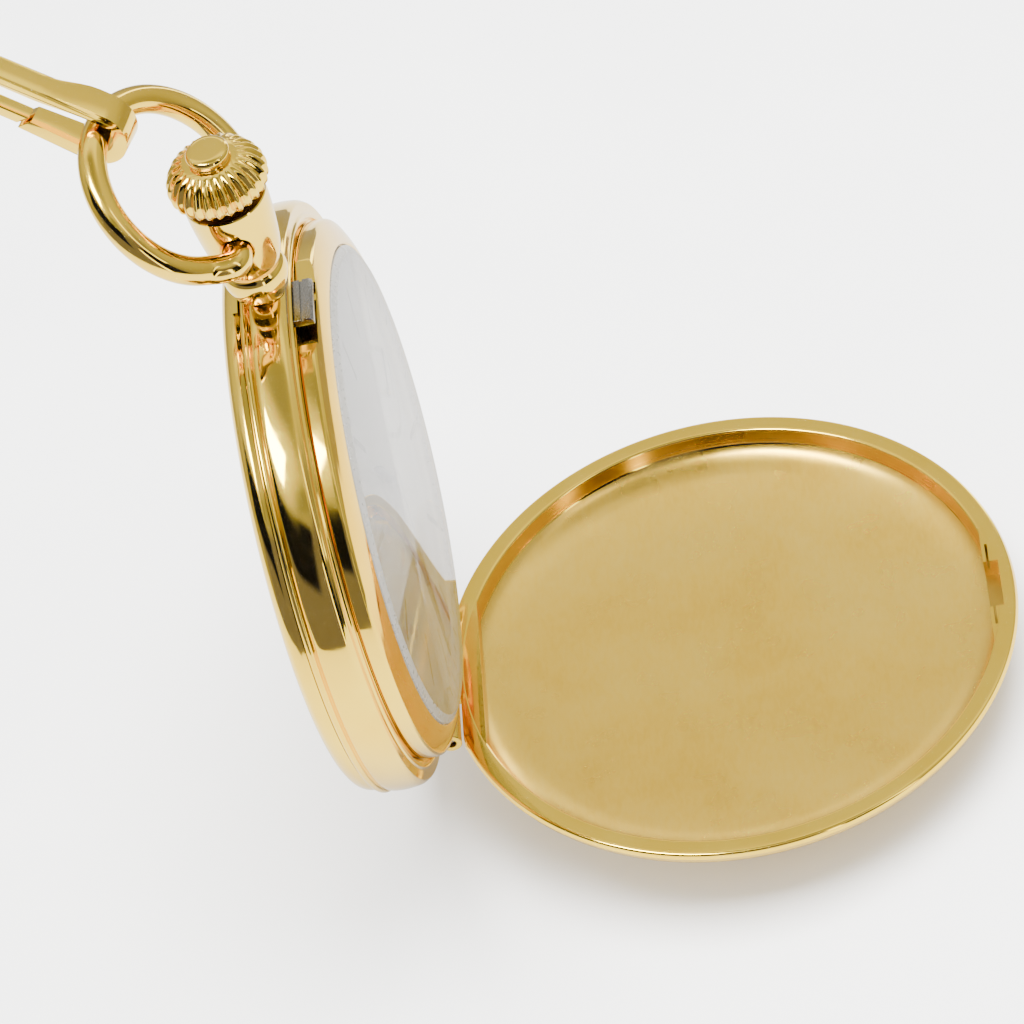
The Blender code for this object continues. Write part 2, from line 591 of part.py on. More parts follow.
def make_winding_works():
    """Barrel, ratchet, crown wheel, click and the pieces on the stem's axis."""
    profile = [
        (0, 4.78), (5.7, 4.7), (5.7, 3.35), (1.6, 3.35), (1.6, 2.95), (0.9, 2.95), (0.9, 2.15), (0, 2.15),
    ]
    barrel = turned("mainspring_barrel", profile, WHEEL_BRASS, at=(*BARREL, 0), steps=24)
    ring = plate("barrel_teeth", [gear(72, 6.2, 5.95), circle((0, 0), 5.4, 16)], 3.9, 4.5, at=(*BARREL, 0))
    join(barrel, ring)
    ratchet_teeth = [gear(40, 5.45, 5.1), circle((0, 0), 0.5, 10)]
    plate("ratchet_wheel", ratchet_teeth, 1.62, 1.93, STEEL, at=(*BARREL, 0))
    crown_teeth = [gear(28, 3.5, 3.15), circle((0, 0), 0.5, 10)]
    plate("crown_wheel", crown_teeth, 1.62, 1.93, STEEL, at=(*CROWN_WHEEL, 0))
    screw("ratchet_screw", BARREL, 1.22, 0.4)
    screw("crown_wheel_screw", CROWN_WHEEL, 1.22, 0.3)
    pawl = [(0.9, -0.9), (1.35, -0.75), (1.2, 0.2), (0.5, 0.95), (-0.7, 0.8), (-0.9, -0.4), (0, -0.95)]
    plate("click", [pawl, circle((0, 0), 0.3, 8)], 1.62, 1.9, STEEL, at=(*CLICK, 0))
    pinion = tube("winding_pinion", 0.95, 0.5, 12.35, 13.9, finish=STEEL, at=(0, 0, H_STEM), axis=AXIS_Y, steps=16)
    leaves = plate("winding_leaves", [gear(16, 2.15, 1.75), circle((0, 0), 0.7, 10)], 12.5, 13.3,
                   at=(0, 0, H_STEM), axis=AXIS_Y)
    join(pinion, leaves)
    profile = [
        (1.3, 12.2), (1.3, 11.6), (0.95, 11.6), (0.95, 11.1), (1.3, 11.1), (1.3, 10.4), (0.5, 10.4), (0.5, 12.2),
    ]
    turned("sliding_clutch", profile, STEEL, at=(0, 0, H_STEM), axis=AXIS_Y, steps=16)
    rod("winding_stem", 0.42, 9.6, 38.2, finish=STEEL, at=(0, 0, H_STEM), axis=AXIS_Y, steps=12)
    arm = [(1.0, -0.5), (3.4, -1.3), (4.2, -0.5), (3.9, 0.6), (1.6, 0.6), (0.6, 1.0), (-0.3, 0.6), (-0.3, -0.5)]
    plate("setting_lever", [arm, circle((3.2, -0.3), 0.3, 8)], 6.15, 6.4, STEEL, at=(2.6, 15.2, 0))


def make_train():
    train_wheel("centre_wheel", CENTRE, 64, 6.0, (2.97, 3.15), 8, 1.28, (3.3, 4.75), 0.45, (2.2, 7.9))
    train_wheel("third_wheel", THIRD, 60, 5.0, (4.3, 4.48), 8, 1.0, (2.88, 3.4), 0.3, (2.86, 4.8))
    train_wheel("fourth_wheel", FOURTH, 60, 4.6, (3.6, 3.78), 8, 0.9, (4.15, 4.7), 0.2, (2.86, 7.75))
    train_wheel("escape_wheel", ESCAPE, 15, 2.6, (4.3, 4.46), 6, 0.8, (3.4, 4.0), 0.2, (2.86, 4.8), spokes=4)


def make_escapement():
    """Pallet fork, balance with its staff and roller, and the hairspring."""
    to_balance = Vector(BALANCE) - Vector(PALLET)
    to_escape = Vector(ESCAPE) - Vector(PALLET)
    heading = math.atan2(to_balance.y, to_balance.x)
    opening = math.atan2(to_escape.y, to_escape.x) - heading

    def local(along, across, turn=0.0):
        a = heading + turn
        return (along * math.cos(a) - across * math.sin(a), along * math.sin(a) + across * math.cos(a))

    fork_end = to_balance.length - 0.95
    half_tail = [(0, 0.35), (fork_end - 0.8, 0.22), (fork_end, 0.55), (fork_end - 0.1, 0.2)]
    tail = [local(x, -y) for x, y in half_tail] + [local(fork_end - 0.55, 0)]
    tail += [local(x, y) for x, y in reversed(half_tail)]
    half_anchor = [(1.0, 1.9), (0.55, 1.95), (-0.4, 0.5)]
    anchor = [local(x, y, opening) for x, y in half_anchor]
    anchor += [local(x, -y, opening) for x, y in reversed(half_anchor)]
    anchor += [local(0.15, -0.4, opening), local(0.15, 0.4, opening)]
    fork = plate("pallet_fork", [tail], 4.2, 4.42, STEEL, at=(*PALLET, 0))
    join(fork, plate("pallet_anchor", [anchor], 4.22, 4.4, at=(*PALLET, 0)))
    join(fork, rod("pallet_staff", 0.15, 3.8, 4.82, at=(*PALLET, 0), steps=8))

    profile = [
        (0, 4.8), (0.14, 4.8), (0.14, 4.35), (0.3, 4.3), (0.3, 4.1), (0.75, 4.1), (0.75, 3.9), (0.3, 3.9),
        (0.3, 3.0), (0.1, 2.95), (0.1, 2.86), (0, 2.86),
    ]
    balance = turned("balance_wheel", profile, WHEEL_BRASS, at=(*BALANCE, 0), steps=16)
    rim = plate("balance_rim", [circle((0, 0), 5.2, 40)] + crossings(2, 0.75, 4.5, 0.7), 3.2, 3.6, at=(*BALANCE, 0))
    join(balance, rim)
    turns, points = 3.5, 64
    spiral = []
    for i in range(points):
        a = math.tau * turns * i / (points - 1)
        radius = 0.75 + 1.75 * i / (points - 1)
        spiral.append((radius * math.cos(a), radius * math.sin(a), 2.97))
    wire("hairspring", spiral, 0.06, BLUED_STEEL, at=(*BALANCE, 0), resolution=0)


def make_motion_work():
    """Cannon pinion, minute wheel and hour wheel under the dial."""
    cannon = tube("cannon_pinion", 0.55, 0.48, 6.12, 8.3, finish=STEEL, at=(*CENTRE, 0), steps=12)
    leaf = plate("cannon_leaves", [gear(12, 1.15, 0.9), circle((0, 0), 0.5, 12)], 6.15, 6.75, at=(*CENTRE, 0))
    join(cannon, leaf)
    reach = Vector(MINUTE_WHEEL).length
    teeth = [gear(36, reach - 1.2, reach - 1.4), circle((0, 0), 0.3, 8)]
    minute = plate("minute_wheel", teeth, 6.15, 6.4, WHEEL_BRASS, at=(*MINUTE_WHEEL, 0))
    leaves = [gear(10, 0.95, 0.7), circle((0, 0), 0.3, 8)]
    join(minute, plate("minute_leaves", leaves, 6.35, 6.95, at=(*MINUTE_WHEEL, 0)))
    hour = tube("hour_wheel", 0.98, 0.65, 6.82, 7.95, finish=WHEEL_BRASS, at=(*CENTRE, 0), steps=16)
    teeth = [gear(40, reach - 1.0, reach - 1.2), circle((0, 0), 0.8, 16)]
    join(hour, plate("hour_disc", teeth, 6.8, 7.0, at=(*CENTRE, 0)))


# ---- crown, bow and clip -----------------------------------------------------------------------
def make_crown():
    """Fluted onion with a polished button, and the sleeve that slides in the pendant."""
    rings = [
        (3.6, CROWN_BASE), (CROWN_R, CROWN_BASE + 0.6), (4.1, CROWN_BASE + 1.4), (3.4, CROWN_BASE + 2.6),
        (2.3, CROWN_BASE + 3.2),
    ]
    depth = [0.14, 0.26, 0.26, 0.2, 0.0]
    steps = CROWN_FLUTES * 3
    shape = bmesh.new()
    loops = []
    for (radius, height), flute in zip(rings, depth):
        loop = []
        for i in range(steps):
            a = math.tau * i / steps
            r = radius - flute * (0.5 - 0.5 * math.cos(a * CROWN_FLUTES))
            loop.append(shape.verts.new((r * math.cos(a), r * math.sin(a), height)))
        loops.append(loop)
    for low, high in zip(loops, loops[1:]):
        for i in range(steps):
            j = (i + 1) % steps
            shape.faces.new((low[i], low[j], high[j], high[i]))
    shape.faces.new(list(reversed(loops[0])))
    shape.faces.new(loops[-1])
    mesh = bpy.data.meshes.new("crown")
    shape.to_mesh(mesh)
    shape.free()
    crown = place("crown", mesh, GOLD, (0, 0, H_STEM), AXIS_Y, bench)
    drops = [(0, 0), (1.35, 0.03), (1.72, 0.3), (1.8, 0.55), (1.62, 0.85), (1.9, 1.2), (0, 1.3)]
    profile = [(r, CROWN_TOP - drop) for r, drop in drops]
    button = turned("crown_button", profile, at=(0, 0, H_STEM), axis=AXIS_Y, steps=24)
    sleeve = rod("crown_sleeve", 1.1, 23.3, CROWN_BASE + 0.5, at=(0, 0, H_STEM), axis=AXIS_Y, steps=16)
    stem_bore = rod("crown_stem_bore", 0.5, 20, 39.3, at=(0, 0, H_STEM), axis=AXIS_Y, steps=12)
    join(crown, button, sleeve)
    cut(crown, stem_bore)


def bow_frame():
    """Directions of the bow's ring: outward from the pivot, and across."""
    outward = Vector((0, math.cos(BOW_TILT), -math.sin(BOW_TILT)))
    normal = Vector((1, 0, 0)).cross(outward)
    across = Vector((1, 0, 0)) * math.cos(BOW_TWIST) + normal * math.sin(BOW_TWIST)
    return outward, across


def bow_point(angle):
    outward, across = bow_frame()
    middle = outward * BOW_REACH + Vector((BOW_SHIFT, 0, 0))
    return middle + outward * BOW_R * math.cos(angle) + across * BOW_R * math.sin(angle)


def make_bow():
    """Round wire bow; its two ends turn inward into the pendant's sockets."""
    pivot = empty("bow_pivot", (0, BOW_PIVOT_Y, H_STEM), parent=bench)
    right_limit, left_limit = math.radians(140), math.radians(-120)
    ring = [bow_point(right_limit + (left_limit - right_limit) * i / 36) for i in range(37)]
    start, end = Vector((3.6, 0, 0)), Vector((-3.6, 0, 0))

    def lead(stub, inward, first, second):
        """Smooth run from the socket into the ring."""
        heading = (first - second).normalized()
        reach = (stub - first).length * 0.38
        handles = (stub, stub + inward * -reach, first + heading * reach, first)
        run = []
        for i in range(1, 7):
            t = i / 7
            weights = ((1 - t) ** 3, 3 * t * (1 - t) ** 2, 3 * t * t * (1 - t), t ** 3)
            run.append(sum((h * w for h, w in zip(handles, weights)), Vector()))
        return run

    right = lead(start, Vector((-1, 0, 0)), ring[0], ring[1])
    left = lead(end, Vector((1, 0, 0)), ring[-1], ring[-2])
    points = [Vector((1.85, 0, 0)), start] + right + ring + left[::-1] + [end, Vector((-1.85, 0, 0))]
    wire("bow", points, BOW_WIRE_R, GOLD, parent=pivot, resolution=2)
    return pivot


def make_clip(pivot):
    """Swivel clip on the bow: hook, sprung gate with its pin, and the swivel eye for a chain."""
    outward, across = bow_frame()
    angle = math.atan2(CLIP_PULL.dot(across), CLIP_PULL.dot(outward))
    seat = bow_point(angle)
    tangent = (across * math.cos(angle) - outward * math.sin(angle)).normalized()
    along = (CLIP_PULL - tangent * CLIP_PULL.dot(tangent)).normalized()
    up = tangent.cross(along)
    frame = Matrix((along, up, tangent)).transposed()
    clip = empty("clip_swing", seat, frame.to_euler(), pivot)
    inner, outer = CLIP_EYE_R, CLIP_EYE_R + CLIP_STRAP
    low_inner, low_outer = inner - CLIP_DROP, outer - CLIP_DROP
    half, bar_half = CLIP_WIDTH / 2, CLIP_BAR / 2
    base = CLIP_ARM + 1.6
    nose = arc((0, 0), outer, 90, 270, 12)
    throat = arc((0, 0), inner, 270, 90, 10)
    step = 0.9
    beak = [(CLIP_GATE_START - 0.2, -outer), (CLIP_GATE_START - 0.2 - step, -inner)]
    heel = [
        (CLIP_ARM - 2.2, low_inner), (CLIP_ARM - 1.2, low_inner - 0.7), (CLIP_ARM - 1.1, -inner + 0.75),
        (CLIP_ARM + 1.5, -inner + 0.75), (base, -0.85), (base, 0.9), (base - 0.8, low_outer - 0.15),
    ]
    neck_start, neck_end = 2.4, 4.8
    inside, outside = [(neck_start, inner), (neck_end, low_inner)], [(neck_end, low_outer), (neck_start, outer)]
    hook = plate("clip_hook", [nose + beak + throat + inside + heel + outside], -half, half, GOLD, parent=clip)
    for vertex in hook.data.vertices:
        share = min(1, max(0, (vertex.co.x - neck_start) / (neck_end - neck_start)))
        vertex.co.z *= 1 - (1 - bar_half / half) * share
    gate_half = bar_half - 0.3
    pin_at = (CLIP_ARM + 0.3, -inner - CLIP_STRAP / 2)
    cheek = [
        (CLIP_ARM - 0.9, -inner + 1.0), (CLIP_ARM - 0.9, -outer), (CLIP_ARM + 1.5, -outer),
        (CLIP_ARM + 1.5, -inner + 1.0),
    ]
    for side in (-1, 1):
        low, high = sorted((side * (gate_half + 0.07), side * bar_half))
        join(hook, plate(f"clip_cheek_{side}", [cheek], low, high, parent=clip))
    cut(hook, rod("gate_pin_bore", 0.3, -2, 2, at=(*pin_at, 0), steps=10, parent=clip))
    bar = [
        (CLIP_GATE_START, -outer + 0.02), (CLIP_GATE_START - step + 0.05, -inner - 0.02),
        (CLIP_ARM + 0.9, -inner - 0.02), (CLIP_ARM + 0.9, -outer + 0.02),
    ]
    pivot_frame = empty("clip_gate_pivot", (*pin_at, 0), parent=clip)
    local_bar = [(x - pin_at[0], y - pin_at[1]) for x, y in bar]
    plate("clip_gate", [local_bar, circle((0, 0), 0.3, 10)], -gate_half, gate_half, GOLD, parent=pivot_frame)
    pin_half = bar_half - 0.05
    rod("clip_gate_pin", 0.24, -pin_half, pin_half, finish=STEEL, at=(*pin_at, 0), steps=10, parent=clip)
    eye_at = base + 2.4
    swivel = rod("clip_swivel_eye", 0.6, base + 0.1, eye_at - 1.2, finish=GOLD, axis=AXIS_X, steps=16, parent=clip)
    ring_points = [(x, 0, z) for x, z in circle((eye_at + 0.7, 0), 2.1, 20)]
    join(swivel, wire("clip_eye_ring", ring_points, 0.65, parent=clip, resolution=2, cyclic=True))


make_case_band()
make_pendant()
make_front_cover()
make_back_cover()
make_cuvette()
make_springs()
make_bezel_and_crystal()
make_dial()
make_hands()
make_main_plate()
make_bridges()
make_screws_and_jewels()
make_winding_works()
make_train()
make_escapement()
make_motion_work()
make_crown()
make_clip(make_bow())
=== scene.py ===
"""Looks of the hunter pocket watch: fine gold case, dial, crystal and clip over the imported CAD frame.

Fine pieces are shaped on the same bench as the CAD, in millimetres with the dial up and the pendant at
+Y; BENCH turns them into the frame's metres.
"""

import json
import math

import bmesh
import bpy
from mathutils import Matrix, Vector


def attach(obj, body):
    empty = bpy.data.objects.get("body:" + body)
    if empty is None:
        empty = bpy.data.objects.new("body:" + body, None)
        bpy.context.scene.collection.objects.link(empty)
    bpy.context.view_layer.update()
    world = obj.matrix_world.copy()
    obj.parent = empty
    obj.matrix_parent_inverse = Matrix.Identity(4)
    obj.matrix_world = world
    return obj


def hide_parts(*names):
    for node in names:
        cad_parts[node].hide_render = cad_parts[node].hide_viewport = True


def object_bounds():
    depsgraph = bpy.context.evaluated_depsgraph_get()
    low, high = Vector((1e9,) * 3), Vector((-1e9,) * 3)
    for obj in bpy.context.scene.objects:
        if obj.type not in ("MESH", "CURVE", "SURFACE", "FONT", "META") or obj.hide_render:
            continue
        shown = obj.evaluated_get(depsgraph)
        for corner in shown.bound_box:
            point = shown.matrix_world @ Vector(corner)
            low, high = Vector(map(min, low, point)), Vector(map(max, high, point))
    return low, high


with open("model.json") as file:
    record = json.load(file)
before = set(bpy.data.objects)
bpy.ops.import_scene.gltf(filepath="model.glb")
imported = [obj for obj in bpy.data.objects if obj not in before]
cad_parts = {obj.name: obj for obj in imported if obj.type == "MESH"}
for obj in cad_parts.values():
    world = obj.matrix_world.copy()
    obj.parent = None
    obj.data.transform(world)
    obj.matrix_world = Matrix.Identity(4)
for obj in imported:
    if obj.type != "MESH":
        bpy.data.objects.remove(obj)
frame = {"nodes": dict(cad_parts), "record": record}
cad_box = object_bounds()

# The bench in the frame, and then the hinges, the stem, the bow's pivot and the seconds arbor on the bench.
BENCH = Matrix(((0.001, 0, 0, 0), (0, 0, -0.001, 0), (0, 0.001, 0, 0), (0, 0, 0, 1)))
FRONT_HINGE = (0, -24.8, 6.5)
BACK_HINGE = (0, -24.95, 2.25)
CUVETTE_HINGE = (0, -22.8, 2.36)
COVER_OPEN = math.radians(93.3)
STEM = (0, 0, 4.4)
BOW_PIVOT = Vector((0, 32.6, 4.4))
SECONDS_AT = (10.5, 0, 0)
# The time that the hands show, clockwise from twelve.
HOUR_HEADING, MINUTE_HEADING, SECONDS_HEADING = math.radians(54), math.radians(289), math.radians(150)
DIAL_TOP = 7.45
# OPENED carries the front cover from shut, as it is shaped, to open, as it rests.
TO_HINGE = Matrix.Translation(FRONT_HINGE)
OPENED = TO_HINGE @ Matrix.Rotation(COVER_OPEN, 4, "X") @ TO_HINGE.inverted()
# Turned bodies are made about +Z; these two lay them along +X and +Y.
TURN_X = Matrix.Rotation(math.radians(90), 4, "Y")
TURN_Y = Matrix.Rotation(math.radians(-90), 4, "X")
STEPS = 256
# A Mix node has an A, a B and a Result for each type of value; these are the colour's.
MIX_A, MIX_B, MIX_RESULT = 6, 7, 2

scene = bpy.context.scene

# ---- camera --------------------------------------------------------------------------------------
camera = bpy.data.objects.new("camera", bpy.data.cameras.new("camera"))
scene.collection.objects.link(camera)
camera.data.sensor_width = 36.0
camera.data.lens = 210.4
camera.data.clip_start = 0.01
camera.data.clip_end = 10.0
camera.location = (-0.3427, -0.0895, 0.35337)
camera.rotation_euler = [math.radians(angle) for angle in (42.32, 14.34, -93.281)]
scene.camera = camera


# ---- materials -----------------------------------------------------------------------------------
class Shade:
    """A Principled material and a short way to add nodes to it."""

    def __init__(self, name, colour, metallic, roughness):
        self.material = bpy.data.materials.new(name)
        self.material.use_nodes = True
        self.tree = self.material.node_tree
        self.shader = self.tree.nodes["Principled BSDF"]
        self.put("Base Color", (*colour, 1))
        self.put("Metallic", metallic)
        self.put("Roughness", roughness)
        self.where = self.tree.nodes.new("ShaderNodeTexCoord").outputs["Object"]

    def put(self, socket, value):
        """Sets a constant on the shader's own socket."""
        self.shader.inputs[socket].default_value = value

    def link(self, a, b):
        """Joins an output to an input."""
        self.tree.links.new(a, b)

    def stretched(self, scale):
        """The object's own coordinates, scaled along each axis."""
        node = self.tree.nodes.new("ShaderNodeMapping")
        node.inputs["Scale"].default_value = scale
        self.link(self.where, node.inputs["Vector"])
        return node.outputs["Vector"]

    def noise(self, scale, detail=3.0, stretch=(1, 1, 1), distortion=0.0):
        """Noise whose scale is in features per metre."""
        node = self.tree.nodes.new("ShaderNodeTexNoise")
        node.inputs["Scale"].default_value = scale
        node.inputs["Detail"].default_value = detail
        node.inputs["Distortion"].default_value = distortion
        self.link(self.stretched(stretch), node.inputs["Vector"])
        return node.outputs["Fac"]

    def ramp(self, source, stops):
        """The source as a colour between the (place, colour) stops."""
        node = self.tree.nodes.new("ShaderNodeValToRGB")
        points = node.color_ramp.elements
        points[0].position, points[0].color = stops[0][0], (*stops[0][1], 1)
        points[1].position, points[1].color = stops[-1][0], (*stops[-1][1], 1)
        for place, colour in stops[1:-1]:
            points.new(place).color = (*colour, 1)
        self.link(source, node.inputs["Fac"])
        return node.outputs["Color"]

    def spread(self, source, low, high, start=0.3, end=0.7):
        """The source between start and end, as values from low to high."""
        node = self.tree.nodes.new("ShaderNodeMapRange")
        for socket, value in (("From Min", start), ("From Max", end), ("To Min", low), ("To Max", high)):
            node.inputs[socket].default_value = value
        self.link(source, node.inputs["Value"])
        return node.outputs["Result"]

    def tint(self, source, stops):
        """Colours the surface by the source."""
        self.link(self.ramp(source, stops), self.shader.inputs["Base Color"])

    def gloss(self, source, low, high, start=0.3, end=0.7):
        """Sets the roughness by the source."""
        self.link(self.spread(source, low, high, start, end), self.shader.inputs["Roughness"])

    def maths(self, operation, a, b):
        """Arithmetic on two values, each an output or a number."""
        node = self.tree.nodes.new("ShaderNodeMath")
        node.operation = operation
        for socket, value in zip(node.inputs, (a, b)):
            if isinstance(value, (int, float)):
                socket.default_value = value
            else:
                self.link(value, socket)
        return node.outputs[0]

    def bump(self, height, strength, distance):
        """Roughens the surface by the height; the distance is in metres."""
        node = self.tree.nodes.new("ShaderNodeBump")
        node.inputs["Strength"].default_value = strength
        node.inputs["Distance"].default_value = distance
        self.link(height, node.inputs["Height"])
        self.link(node.outputs["Normal"], self.shader.inputs["Normal"])


def polished_gold(name, low, high, rough, smear):
    """Polished plate: slow changes of tone, hand marks in the gloss, hairline wear."""
    s = Shade(name, high, 1.0, rough)
    s.put("Coat Weight", 0.4)
    s.put("Coat IOR", 1.3)
    s.put("Coat Roughness", 0.45)
    s.tint(s.noise(160, 4), [(0.3, low), (0.7, high)])
    s.gloss(s.noise(420, 6, distortion=0.6), rough, rough + smear, 0.42, 0.75)
    waves = s.noise(130, 2)
    hair = s.noise(900, 8, (1, 14, 1))
    s.bump(s.maths("ADD", s.maths("MULTIPLY", hair, 0.05), waves), 0.25, 0.00004)
    return s.material


def brushed(name, low, high, rough, stretch, depth=0.00001):
    """Metal with a fine directional grain."""
    s = Shade(name, high, 1.0, rough)
    grain = s.noise(3000, 5, stretch)
    s.tint(grain, [(0.3, low), (0.75, high)])
    s.gloss(grain, rough * 0.7, rough * 1.4)
    s.bump(grain, 0.3, depth)
    return s.material


def cover_gold(name):
    """Inside of the open cover: a softly spun dish with shallow dents and a duller bloom."""
    s = Shade(name, (0.93, 0.60, 0.06), 1.0, 0.24)
    clouds = s.maths("MULTIPLY", s.noise(110, 4, distortion=0.4), 0.65)
    streaks = s.maths("MULTIPLY", s.noise(900, 5, (1, 2.5, 1), 0.6), 0.35)
    tones = [(0.36, (0.89, 0.55, 0.055)), (0.5, (0.94, 0.61, 0.075)), (0.66, (0.96, 0.65, 0.10))]
    s.tint(s.maths("ADD", clouds, streaks), tones)
    s.gloss(s.noise(260, 3, distortion=0.3), 0.25, 0.33, 0.25, 0.75)
    dents = s.noise(150, 1)
    spin = s.noise(1300, 3, (1, 3, 1), 1.0)
    s.bump(s.maths("ADD", dents, s.maths("MULTIPLY", spin, 0.02)), 0.12, 0.00006)
    return s.material


GOLD = polished_gold("polished_gold", (0.92, 0.595, 0.04), (0.97, 0.66, 0.06), 0.045, 0.10)
WARM_GOLD = polished_gold("warm_gold", (0.88, 0.53, 0.03), (0.95, 0.60, 0.05), 0.06, 0.12)
COVER_GOLD = cover_gold("cover_gold")
# Painted shade: a dull brown gold laid into the front cover's catch notch and slit so they read as shaded
# hollows.
NOTCH_SHADE = polished_gold("notch_shade_gold", (0.50, 0.30, 0.03), (0.66, 0.42, 0.06), 0.3, 0.2)
# Painted shade: a near-black gold laid into hinge bores and the gaps at the crown to darken them.
RECESS_SHADE = polished_gold("recess_shade_gold", (0.10, 0.05, 0.01), (0.30, 0.16, 0.03), 0.35, 0.25)
STEEL = brushed("brushed_steel", (0.20, 0.19, 0.165), (0.38, 0.365, 0.32), 0.22, (1, 18, 18))
BLUED = brushed("blued_steel", (0.02, 0.03, 0.07), (0.05, 0.08, 0.18), 0.25, (1, 6, 6))
BRASS = brushed("wheel_brass", (0.68, 0.50, 0.22), (0.85, 0.66, 0.34), 0.28, (12, 1, 12))


def striped_plate(name):
    """Plated bridges with broad polished stripes."""
    s = Shade(name, (0.74, 0.70, 0.60), 1.0, 0.3)
    wave = s.tree.nodes.new("ShaderNodeTexWave")
    wave.inputs["Scale"].default_value = 160
    wave.inputs["Distortion"].default_value = 0.4
    s.link(s.stretched((1, 0, 0.35)), wave.inputs["Vector"])
    stripes = wave.outputs["Fac"]
    s.tint(stripes, [(0.0, (0.62, 0.58, 0.48)), (1.0, (0.82, 0.78, 0.68))])
    s.gloss(s.noise(2600, 5, (1, 1, 12)), 0.2, 0.42)
    s.bump(stripes, 0.4, 0.00004)
    return s.material


def jewel(name):
    """Synthetic ruby, darker in its depth."""
    s = Shade(name, (0.55, 0.01, 0.07), 0.0, 0.06)
    s.put("Coat Weight", 0.6)
    s.tint(s.noise(1400, 3), [(0.3, (0.38, 0.0, 0.05)), (0.7, (0.68, 0.03, 0.12))])
    return s.material


def dial_white(name):
    """Silvered white dial under a thin clear coat."""
    s = Shade(name, (0.84, 0.83, 0.79), 0.0, 0.3)
    s.put("Coat Weight", 0.35)
    s.put("Coat Roughness", 0.08)
    s.tint(s.noise(120, 5), [(0.3, (0.66, 0.64, 0.58)), (0.7, (0.74, 0.72, 0.67))])
    s.bump(s.noise(2600, 4), 0.12, 0.00002)
    return s.material


def clear_glass(name, frosted):
    """Crystal glass; the bevel is ground finer than it is polished."""
    s = Shade(name, (0.98, 0.985, 0.98), 0.0, 0.01)
    s.put("Transmission Weight", 1.0)
    s.put("IOR", 1.5)
    s.put("Alpha", 0.78)
    if frosted:
        s.put("Alpha", 0.95)
        s.put("Base Color", (0.30, 0.29, 0.26, 1))
        s.put("Transmission Weight", 0.4)
        s.gloss(s.noise(2200, 5), 0.2, 0.45)
        s.bump(s.noise(3500, 4), 0.3, 0.00004)
    else:
        s.gloss(s.noise(300, 5, distortion=0.5), 0.0, 0.05, 0.55, 0.8)
    return s.material


PLATE = striped_plate("striped_plate")
RUBY = jewel("ruby")
DIAL = dial_white("dial_white")
GLASS = clear_glass("crystal_glass", False)
BEVEL = clear_glass("crystal_bevel", True)
INK = brushed("dial_ink", (0.012, 0.012, 0.014), (0.03, 0.03, 0.035), 0.45, (1, 1, 1))


# ---- shapes on the bench -------------------------------------------------------------------------
workshop = bpy.data.collections.new("workshop")
scene.collection.children.link(workshop)


def raw(mesh, name="shape"):
    """A new object on the bench."""
    piece = bpy.data.objects.new(name, mesh)
    workshop.objects.link(piece)
    return piece


def filled(shape, name="shape"):
    """An object on the bench from a finished bmesh."""
    mesh = bpy.data.meshes.new(name)
    bmesh.ops.recalc_face_normals(shape, faces=shape.faces)
    shape.to_mesh(mesh)
    shape.free()
    return raw(mesh, name)


def moved(piece, matrix):
    """The piece with its mesh carried by the matrix."""
    piece.data.transform(matrix)
    return piece


def turned(profile, steps=STEPS, matrix=None):
    """A turned body about +Z from (radius, height) points; closed on the axis or as a ring."""
    shape = bmesh.new()
    rows = []
    for radius, height in profile:
        if radius < 1e-6:
            rows.append([shape.verts.new((0, 0, height))])
        else:
            row = []
            for i in range(steps):
                a = math.tau * i / steps
                row.append(shape.verts.new((radius * math.cos(a), radius * math.sin(a), height)))
            rows.append(row)
    pairs = list(zip(rows, rows[1:]))
    if len(rows[0]) > 1:
        pairs.append((rows[-1], rows[0]))
    for a, b in pairs:
        for i in range(steps):
            j = (i + 1) % steps
            ring = [a[i % len(a)], b[i % len(b)], b[j % len(b)], a[j % len(a)]]
            corners = list(dict.fromkeys(ring))
            if len(corners) > 2:
                shape.faces.new(corners)
    piece = filled(shape)
    return moved(piece, matrix) if matrix else piece


def flow(points, count=6):
    """Catmull-Rom curve through the points."""
    head = [tuple(2 * a - b for a, b in zip(points[0], points[1]))]
    tail = [tuple(2 * a - b for a, b in zip(points[-1], points[-2]))]
    p = head + list(points) + tail
    out = []
    for k in range(1, len(p) - 2):
        for i in range(count):
            t = i / count
            place = []
            for a, b, c, d in zip(p[k - 1], p[k], p[k + 1], p[k + 2]):
                square, cube = 2 * a - 5 * b + 4 * c - d, 3 * b - a - 3 * c + d
                place.append(0.5 * (2 * b + (c - a) * t + square * t * t + cube * t ** 3))
            out.append(tuple(place))
    return out + [tuple(points[-1])]


def soft(points, radius, count=3, closed=True):
    """The polygon with each corner eased off, so that its edges catch light."""
    out = []
    n = len(points)
    for i, corner in enumerate(points):
        if not closed and i in (0, n - 1):
            out.append(corner)
            continue
        here = Vector(corner)
        before, after = Vector(points[i - 1]) - here, Vector(points[(i + 1) % n]) - here
        reach = min(radius, before.length * 0.45, after.length * 0.45)
        a, b = here + before.normalized() * reach, here + after.normalized() * reach
        for k in range(count + 1):
            t = k / count
            out.append(tuple(a * (1 - t) ** 2 + here * 2 * t * (1 - t) + b * t * t))
    return out


def rod(radius, low, high, matrix=Matrix(), steps=48):
    """A plain cylinder about +Z between two heights."""
    return turned([(0, high), (radius, high), (radius, low), (0, low)], steps, matrix)


def tube(outer, inner, low, high, matrix=Matrix(), steps=64):
    """A sleeve about +Z with eased ends, such as a hinge knuckle."""
    edge = 0.06
    profile = [(outer - edge, high), (outer, high - edge), (outer, low + edge), (outer - edge, low),
               (inner + edge, low), (inner, low + edge), (inner, high - edge), (inner + edge, high)]
    return turned(profile, steps, matrix)


def block(low, high, matrix=Matrix()):
    """A box between two corners."""
    shape = bmesh.new()
    bmesh.ops.create_cube(shape, size=1)
    bmesh.ops.scale(shape, vec=[b - a for a, b in zip(low, high)], verts=shape.verts)
    bmesh.ops.translate(shape, vec=[(a + b) / 2 for a, b in zip(low, high)], verts=shape.verts)
    return moved(filled(shape), matrix)


